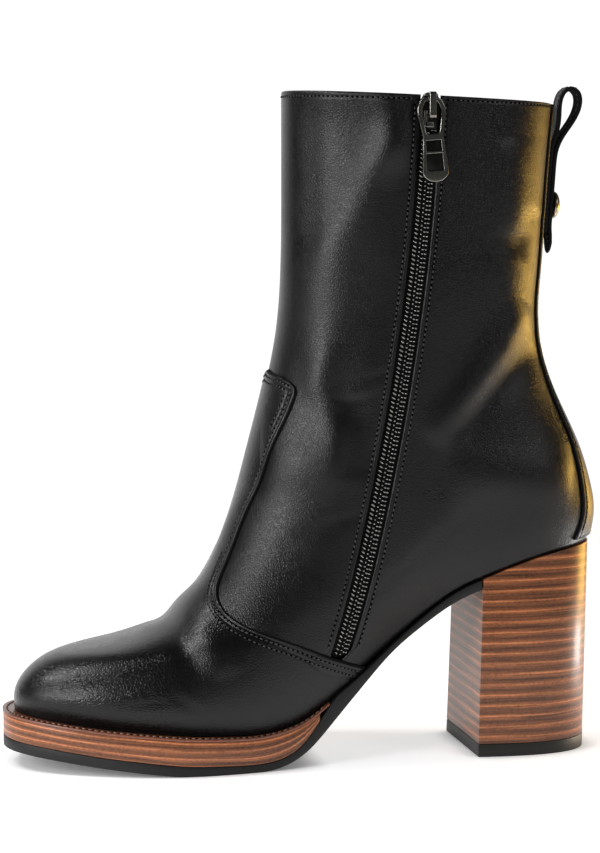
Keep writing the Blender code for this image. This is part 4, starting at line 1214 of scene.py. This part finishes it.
def outline(share, ledge, heel, toe):
    """x and the inner and outer y, at shares from heel (0) to toe (1), of the feather line moved
    out by a ledge on its sides and at its ends; mm."""
    inner = np.array(FIRST[6:]) + ledge
    outer = inner + np.array(LATERAL_EXTRA)
    stations = np.concatenate([[0.0], -inner, [TIP_INFLARE], outer[::-1]])
    table = np.tile(stations, (len(share), 1))
    tau = np.arccos(1 - 2 * share) / (2 * np.pi)
    back, front = FIRST.back_x + heel, FIRST.front_x - toe
    return back + (front - back) * share, ring_curve(table, tau), ring_curve(table, 1 - tau)


def sole_outline(share, outset):
    """Outline of the sole's edge."""
    return outline(share, LEDGE + outset, HEEL_LEDGE + outset, TOE_LEDGE + outset)


def sole_share(x):
    """Share at a given x of the sole's edge."""
    back, front = FIRST.back_x + HEEL_LEDGE, FIRST.front_x - TOE_LEDGE
    return (back - x) / (back - front)


def floor_line(x):
    """Underside of the outsole, flat on the floor under the ball of the foot."""
    return np.where((x >= -55.0) & (x <= -22.0), 0.0, np.maximum(0.0, ground_line(x)))


def outsole_top(x):
    """Top of the outsole: under the platform in front, at the seat in the waist."""
    return np.where(x > 13.0, seat_line(x), np.minimum(outsole_line(x), seat_line(x)))


print("The sole is", round(FIRST.back_x + HEEL_LEDGE - FIRST.front_x + TOE_LEDGE), "mm long")


# %% Layers of the sole
def pushed_up(made, top, soften):
    """Push a grid up to a solid, each corner to top(x, y, z), and soften its rims; mm."""
    grown = bmesh.ops.extrude_face_region(made, geom=made.faces)["geom"]
    for corner in [part for part in grown if isinstance(part, bmesh.types.BMVert)]:
        corner.co = Vector(top(*(corner.co / MM))) * MM
    bmesh.ops.remove_doubles(made, verts=made.verts, dist=0.00002)
    bmesh.ops.recalc_face_normals(made, faces=made.faces)
    rims = [edge for edge in made.edges if edge.calc_face_angle(0.0) > math.radians(50)]
    if soften:
        bmesh.ops.bevel(made, geom=rims, offset=soften * MM, segments=2, profile=0.5,
                        affect="EDGES", material=-1)
    return made


def sole_layer(from_x, along, across, low, high, outset, soften):
    """A layer of the sole from from_x to the toe, between two curves of x; mm."""
    first, last = math.acos(1 - 2 * sole_share(from_x)), math.pi

    def place(u, w):
        share = eased(first + (last - first) * u)
        x, inner, outer = sole_outline(share, outset)
        return np.stack([x, inner + (outer - inner) * eased(np.pi * w), low(x)], axis=1)

    def top(x, y, _):
        return x, y, float(high(np.array([x]))[0])

    return pushed_up(sheet(along, across, place), top, soften)


def store_height(thing, low, high):
    """Keep how far each vertex is from the layer's underside (0) to its top (1) for its paint."""
    x, _, z = np.array([corner.co for corner in thing.data.vertices]).T / MM
    share = (z - low(x)) / np.maximum(high(x) - low(x), 0.1)
    kept = thing.data.attributes.new("layer_height", "FLOAT", "POINT")
    kept.data.foreach_set("value", np.clip(share, 0, 1).astype(np.float32))


ball_top = float(outsole_top(np.array([-40.0]))[0])
print("The rubber is", round(ball_top, 1), "mm thick under the ball of the foot")

# %% [markdown]
# ## Stacked leather
# Platform and heel are built from layers of veg-tanned leather, glued, trimmed, stained and
# burnished with wax. The cut edge shows dark fibrous bands with a light line at every joint.
# The bands follow the layers: on the platform they follow a stored height, which bends with the
# sole, and on the heel the plain height over the floor.

# %% Stacked leather
def stacked_leather(name, bands, from_attribute, light):
    """Stained, waxed leather edge: brown speckled bands with an orange line at each joint."""
    paint = new_paint(name)
    place = add(paint, "TexCoord", {}, {})
    if from_attribute:
        rise = add(paint, "Attribute", {"attribute_name": "layer_height"}, {})
        level = (rise, "Fac")
    else:
        rise = add(paint, "SeparateXYZ", {}, {0: (place, "Object")})
        level = (rise, "Z")
    stretch = add(paint, "Mapping", {}, {"Vector": (place, "Object"), "Scale": (1.0, 1.0, 2.2)})
    fibre = add(paint, "TexNoise", {}, {"Vector": (stretch, 0), "Scale": 1000 / 1.5, "Detail": 5.0,
                                        "Roughness": 0.7})
    slow = add(paint, "TexNoise", {}, {"Vector": (place, "Object"), "Scale": 1000 / 22.0,
                                       "Detail": 2.0})
    wander = add(paint, "Math", {"operation": "MULTIPLY_ADD"},
                 {0: (slow, "Fac"), 1: 0.16, 2: -0.08})
    count = add(paint, "Math", {"operation": "MULTIPLY_ADD"}, {0: level, 1: bands, 2: (wander, 0)})
    within = add(paint, "Math", {"operation": "FRACT"}, {0: (count, 0)})
    ramp = add(paint, "ValToRGB", {}, {0: (within, 0)})
    stops = ((0.0, "#8a5433"), (0.10, "#6d4127"), (0.35, "#55321f"), (0.58, "#66402a"),
             (0.72, "#7d4a2c"), (0.83, "#875032"), (0.90, "#ac6e45"), (0.95, "#94593a"))
    for i, (spot, code) in enumerate(stops):
        stop = ramp.color_ramp.elements[i] if i < 2 else ramp.color_ramp.elements.new(spot)
        stop.position = spot
        stop.color = colour(code)
    layer = add(paint, "Math", {"operation": "MULTIPLY"}, {0: (count, 0), 1: 0.15})
    streak = add(paint, "TexNoise", {"noise_dimensions": "4D"},
                 {"Vector": (place, "Object"), "W": (layer, 0), "Scale": 1000 / 25.0,
                  "Detail": 3.0})
    both = add(paint, "Math", {"operation": "MULTIPLY_ADD"},
               {0: (fibre, "Fac"), 1: 0.7, 2: (streak, "Fac")})
    dark = add(paint, "MapRange", {}, {"Value": (both, 0), "From Min": 0.62, "From Max": 1.12,
                                       "To Min": 0.35 * light, "To Max": 1.4 * light})
    tone = add(paint, "VectorMath", {"operation": "SCALE"},
               {0: (ramp, "Color"), "Scale": (dark, 0)})
    bump = add(paint, "Bump", {}, {"Height": (fibre, "Fac"), "Strength": 0.15,
                                   "Distance": 0.1 * MM})
    shader = add(paint, "BsdfPrincipled", {},
                 {"Base Color": (tone, 0), "Roughness": 0.45, "Specular IOR Level": 0.3,
                  "Normal": (bump, 0), "Coat Weight": 0.2, "Coat Roughness": 0.2})
    add(paint, "OutputMaterial", {}, {"Surface": (shader, 0)})
    return paint


WELT, LAYER_GAP = 1.0, 0.1


def platform_low(x):
    """Underside of the platform, on the rubber."""
    return outsole_top(x) + LAYER_GAP


def platform_high(x):
    """Top of the platform, under the welt."""
    return seat_line(x) - WELT - LAYER_GAP / 2


made = sole_layer(1.8, 90, 14, platform_low, platform_high, 0.0, 0.3)
# painted light: the same stacked leather as the heel, made brighter (1.65 against 1.5) to make up
# for the shade under the welt
platform_leather_painted_light = stacked_leather("platform_leather_painted_light", 3.2, True, 1.65)
platform = piece("platform_stack", made, platform_leather_painted_light, ["platform"],
                 sharp=40)
store_height(platform, platform_low, platform_high)

# %% [markdown]
# ## Welt
# The welt is a strip of red-brown leather on top of the platform, sewn to it with a pale thread
# that shows all along its edge.

# %% Welt and its stitches
def welt_low(x):
    """Underside of the welt, which thins out where the platform ends."""
    return np.maximum(seat_line(x) - WELT, outsole_top(x) + LAYER_GAP)


# Burnished red-brown leather: mottled, with a waxed shine that lights its rim.
welt_grain = Grain("TexNoise", "Fac", {"Scale": 1000 / 4.0, "Detail": 5.0}, 0.2, 0.1)
welt_leather = mottled("burnished_welt", "#5a2c1e", "#8f5b44", 4.0, 5.0, welt_grain,
                       {"Roughness": 0.3})
made = sole_layer(6.0, 96, 14, welt_low, seat_line, 0.25, 0.3)
piece("welt_strip", made, welt_leather, ["welt"], sharp=40)

welt_share = eased(np.linspace(math.acos(1 - 2 * sole_share(4.0)), math.pi, 300))
welt_x, welt_inner, welt_outer = sole_outline(welt_share, -1.5)
up = np.tile([0.0, 0.0, 1.0], (2 * len(welt_x), 1))
welt_rise = seat_line(welt_x) + 0.1      # the stitches lie so far over the welt's top
welt_line = np.vstack([np.stack([welt_x, welt_inner, welt_rise], axis=1),
                       np.stack([welt_x, welt_outer, welt_rise], axis=1)[::-1]])
pale_thread = thread_or_hole_shade("pale_waxed_thread", "#a88d7c", "#7a5d4d", 0.4)
sew("welt_stitches", [(welt_line, up)], Stitch(2.6, 1.7, 0.7), pale_thread)

# %% [markdown]
# ## Outsole
# The outsole is moulded black rubber. It runs from the toe, up the arch and under the waist to
# the heel. Moulded rubber is dull with a faint bloom, so it is rough and a little mottled.

# %% Outsole
def rubber(name, tint, bloom):
    """Moulded rubber: dull, with a fine stipple from the mould and a faint grey bloom."""
    stipple = Grain("TexNoise", "Fac", {"Scale": 1000 / 0.8, "Detail": 2.0}, 0.3, 0.08)
    finish = {"Roughness": 0.55, "Specular IOR Level": 0.35}
    return mottled(name, tint, bloom, 14.0, 3.0, stipple, finish)


sole_rubber = rubber("moulded_rubber", "#111111", "#1b1a1a")
made = sole_layer(70.6, 130, 20, floor_line, outsole_top, 0.0, 0.6)
piece("outsole_rubber", made, sole_rubber, ["outsole"], sharp=40)

# %% [markdown]
# ## Heel
# The heel is a block of the same stacked leather, nearly straight at the back, with a flat face
# toward the arch, and a rubber lift below. Its outline at the seat is carried down to the floor,
# where it is a little wider, so a grid over the lower outline is pushed up and each of its
# points is carried to where the outline is at the top.

# %% Heel block and lift
HEEL_BREAST_X, HEEL_BACK_X = 71.2, FIRST.back_x + HEEL_LEDGE
HEEL_FOOT_X = (69.0, 119.4)
HEEL_SPREAD = 1.05
LIFT, SEAT_Z = 5.3, 80.0             # top of the lift, and where the heel has its seat's outline
FOOT_SLOPE = (HEEL_FOOT_X[1] - HEEL_FOOT_X[0]) / (HEEL_BACK_X - HEEL_BREAST_X)
FOOT_START = HEEL_FOOT_X[0] - FOOT_SLOPE * HEEL_BREAST_X


def carried(x, y, low, high):
    """Carry a point of the heel from one height to another; heights run from floor 0 to seat 1."""
    seat_x = (x - FOOT_START * (1 - low)) / (FOOT_SLOPE * (1 - low) + low)
    foot = FOOT_START + FOOT_SLOPE * seat_x
    spread = [HEEL_SPREAD + (1 - HEEL_SPREAD) * height for height in (low, high)]
    return foot + (seat_x - foot) * high, y * spread[1] / spread[0]


def heel_part(low, high, top, soften):
    """Part of the heel from a flat underside at low to top(x), with the outline of high there."""
    def under(u, w):
        share = sole_share(HEEL_BREAST_X) * (1 - np.sin(u * math.pi / 2))
        x, inner, outer = sole_outline(share, 0.0)
        x, y = carried(x, inner + (outer - inner) * eased(np.pi * w), 1.0, low / SEAT_Z)
        return np.stack([x, y, np.full(len(u), low)], axis=1)

    def over(x, y, _):
        x, y = carried(x, y, low / SEAT_Z, high)
        return x, y, float(top(x))

    return pushed_up(sheet(40, 22, under), over, soften)


heel_leather = stacked_leather("heel_leather", 1000 / 4.28, False, 1.5)
made = heel_part(LIFT + LAYER_GAP / 2, 1.0, lambda x: seat_line(x) - LAYER_GAP, 0.35)
piece("heel_stack", made, heel_leather, ["heel_block"], sharp=40)
lift_rubber = rubber("lift_rubber", "#191917", "#232320")
made = heel_part(0.0, LIFT / SEAT_Z, lambda x: LIFT, 0.45)
piece("heel_lift", made, lift_rubber, ["top_lift"], sharp=40)

# %% [markdown]
# ## Insole and sock
# Inside lies the insole, covered by a thin leather sock. It is a layer inside the feather line
# and only shows from above, down the shaft.

# %% Insole
SOCK_INSET, SOCK_THICK = 2.5, 2.5


def insole_points(u, w):
    """Underside of the insole, inside the feather line."""
    x, inner, outer = outline(eased(np.pi * u), -SOCK_INSET, -SOCK_INSET, -SOCK_INSET)
    return np.stack([x, inner + (outer - inner) * eased(np.pi * w), seat_line(x) + 0.3], axis=1)


def sock_top(x, y, z):
    """Face of the sock over a point of its underside."""
    return x, y, z + SOCK_THICK


# Sock of tan sheep leather: dull, with worn lighter places.
sheep_pores = Grain("TexVoronoi", "Distance", {"Scale": 1000 / 1.2}, 0.35, 0.1)
sock_sheep = mottled("sock_sheep", "#4a3d33", "#66574a", 30.0, 4.0, sheep_pores, {"Roughness": 0.7})
made = pushed_up(sheet(80, 12, insole_points), sock_top, 0.0)
piece("sock", made, sock_sheep, ["insole"], sharp=40)

# %% [markdown]
# ## Pull strap
# A strip of leather is folded over into a loop at the back of the collar and held by a rivet.
# It is one narrow sheet along the fold's line, thickened to the strap's leather and softened at
# its edges, with a round tip that is pared thin. The loop's inside is the leather's rough flesh
# side. A row of stitches runs along both edges.

# %% Strap
STRAP_THICK, STRAP_WIDTH, SKIVED = 1.5, 9.0, 8.0
STRAP_OFF, STRAP_GAP = 1.7, 0.3          # it lies so far off the last; gap between its layers
STRAP_LOOP = (Edge(104.9, 249.0), Edge(106.6, 254.5), Edge(107.6, 260.0), Edge(107.9, 265.5),
              Edge(108.8, 269.4), Edge(111.0, 272.0), Edge(113.6, 272.4), Edge(115.7, 270.8),
              Edge(116.5, 267.6), Edge(115.4, 262.8), Edge(112.4, 257.6), Edge(108.8, 252.4),
              Edge(106.6, 247.4))
STRAP_TIP = Edge(103.9, 204.8)
back_line = surface(np.zeros(200), np.linspace(0, 1, 200))


def back_x(z):
    """x of the quarter's back profile at height z."""
    return np.interp(z, back_line[:, 2], back_line[:, 0])


lift = STRAP_OFF + STRAP_THICK / 2
inner_layer = [(back_x(z) + lift, z) for z in np.linspace(214.0, 243.0, 5)]
lift += STRAP_THICK + STRAP_GAP
outer_layer = [(back_x(z) + lift, z) for z in np.linspace(241.0, 215.0, 5)]
outer_layer += [(STRAP_TIP.x + 0.3, 210.0), STRAP_TIP]
strap_line = np.array(inner_layer + list(STRAP_LOOP) + outer_layer)
strap_run = run_along(strap_line)
strap_curve = natural_spline(strap_run, strap_line)
STRAP_LENGTH = strap_run[-1]


def strap_points(u, w):
    """Middle of the strap, its width drawn in to a half round at the tip."""
    run = STRAP_LENGTH * u
    left = np.clip(STRAP_LENGTH - run, 0, STRAP_WIDTH / 2)
    half = np.sqrt(np.maximum((STRAP_WIDTH / 2) ** 2 - (STRAP_WIDTH / 2 - left) ** 2, 0.04))
    line = strap_curve(run)
    return np.stack([line[:, 0], (w - 0.5) * 2 * half, line[:, 1]], axis=1)


strap_calf = calf("strap_calf", "#0a090a", 0.42, 1.0, 0.08, 0.25)
strap = piece("strap", sheet(150, 8, strap_points), strap_calf, ["pull_strap"])
strap.data.materials.append(calf("strap_flesh_side", "#0c0b0b", 0.85, 0.6, 0.1, 0.1))
skive = strap.vertex_groups.new(name="skive")
for corner in strap.data.vertices:
    over_tip = max(0.0, corner.co.z / MM - STRAP_TIP.z)
    skive.add([corner.index], min(1.0, 0.3 + 0.7 * over_tip / SKIVED), "REPLACE")
wall = strap.modifiers.new("wall", "SOLIDIFY")
wall.thickness = STRAP_THICK * MM
wall.offset = 0.0
wall.vertex_group = "skive"
wall.material_offset = 1
soft = strap.modifiers.new("soft_edge", "BEVEL")
soft.width = 0.45 * MM
soft.segments = 3
soft.angle_limit = math.radians(50)
print("The strap is", round(STRAP_LENGTH), "mm long")

# %% Stitches of the strap
run = np.linspace(1.5, STRAP_LENGTH - 4.0, 300)
line, ahead = strap_curve(run), strap_curve(run + 0.2) - strap_curve(run - 0.2)
out = unit(np.stack([-ahead[:, 1], np.zeros(len(run)), ahead[:, 0]], axis=1))
rows = []
for side in (-1, 1):
    middle = np.stack([line[:, 0], np.full(len(run), side * 3.1), line[:, 1]], axis=1)
    rows += [(middle + out * face * STRAP_THICK / 2, out * face) for face in (-1, 1)]
sew("strap_seams", rows, Stitch(2.1, 1.6, 0.55), black_thread)

# %% [markdown]
# ## Rivet
# The rivet's cap is pressed from brass: a low dome with a round rim. It is half an outline,
# spun once round its axis.

# %% Rivet
# Antique brass: yellow metal with brown tarnish that polish has taken off in places.
antique_brass = plated("antique_brass", "#6f6350", "#b5a88c", 2.5, 5.0, (0.38, 0.22))
RIVET_Z = 224.8
CAP = ((0.0, 0.3), (4.8, 0.3), (5.3, 0.45), (5.55, 0.9), (5.5, 1.4), (5.2, 1.9),      # radius, rise
       (4.6, 2.4), (3.7, 2.85), (2.6, 3.2), (1.3, 3.42), (0.0, 3.5))
made = bmesh.new()
corners = [made.verts.new((radius * MM, 0.0, rise * MM)) for radius, rise in CAP]
edges = [made.edges.new(pair) for pair in zip(corners[:-1], corners[1:])]
bmesh.ops.spin(made, geom=corners + edges, cent=(0, 0, 0), axis=(0, 0, 1), angle=2 * math.pi,
               steps=40, use_merge=True)
bmesh.ops.remove_doubles(made, verts=made.verts, dist=0.00001)
bmesh.ops.recalc_face_normals(made, faces=made.faces)
outside = back_x(RIVET_Z) + STRAP_OFF + 2 * STRAP_THICK + STRAP_GAP
lean = math.atan((back_x(RIVET_Z + 8) - back_x(RIVET_Z - 8)) / 16)
turn = Matrix.Rotation(lean, 4, "Y") @ Matrix.Rotation(math.radians(90), 4, "Y")
bmesh.ops.transform(made, matrix=Matrix.Translation(Vector((outside, 0.0, RIVET_Z)) * MM) @ turn,
                    verts=made.verts)
piece("rivet_cap", made, antique_brass, ["rivet"])
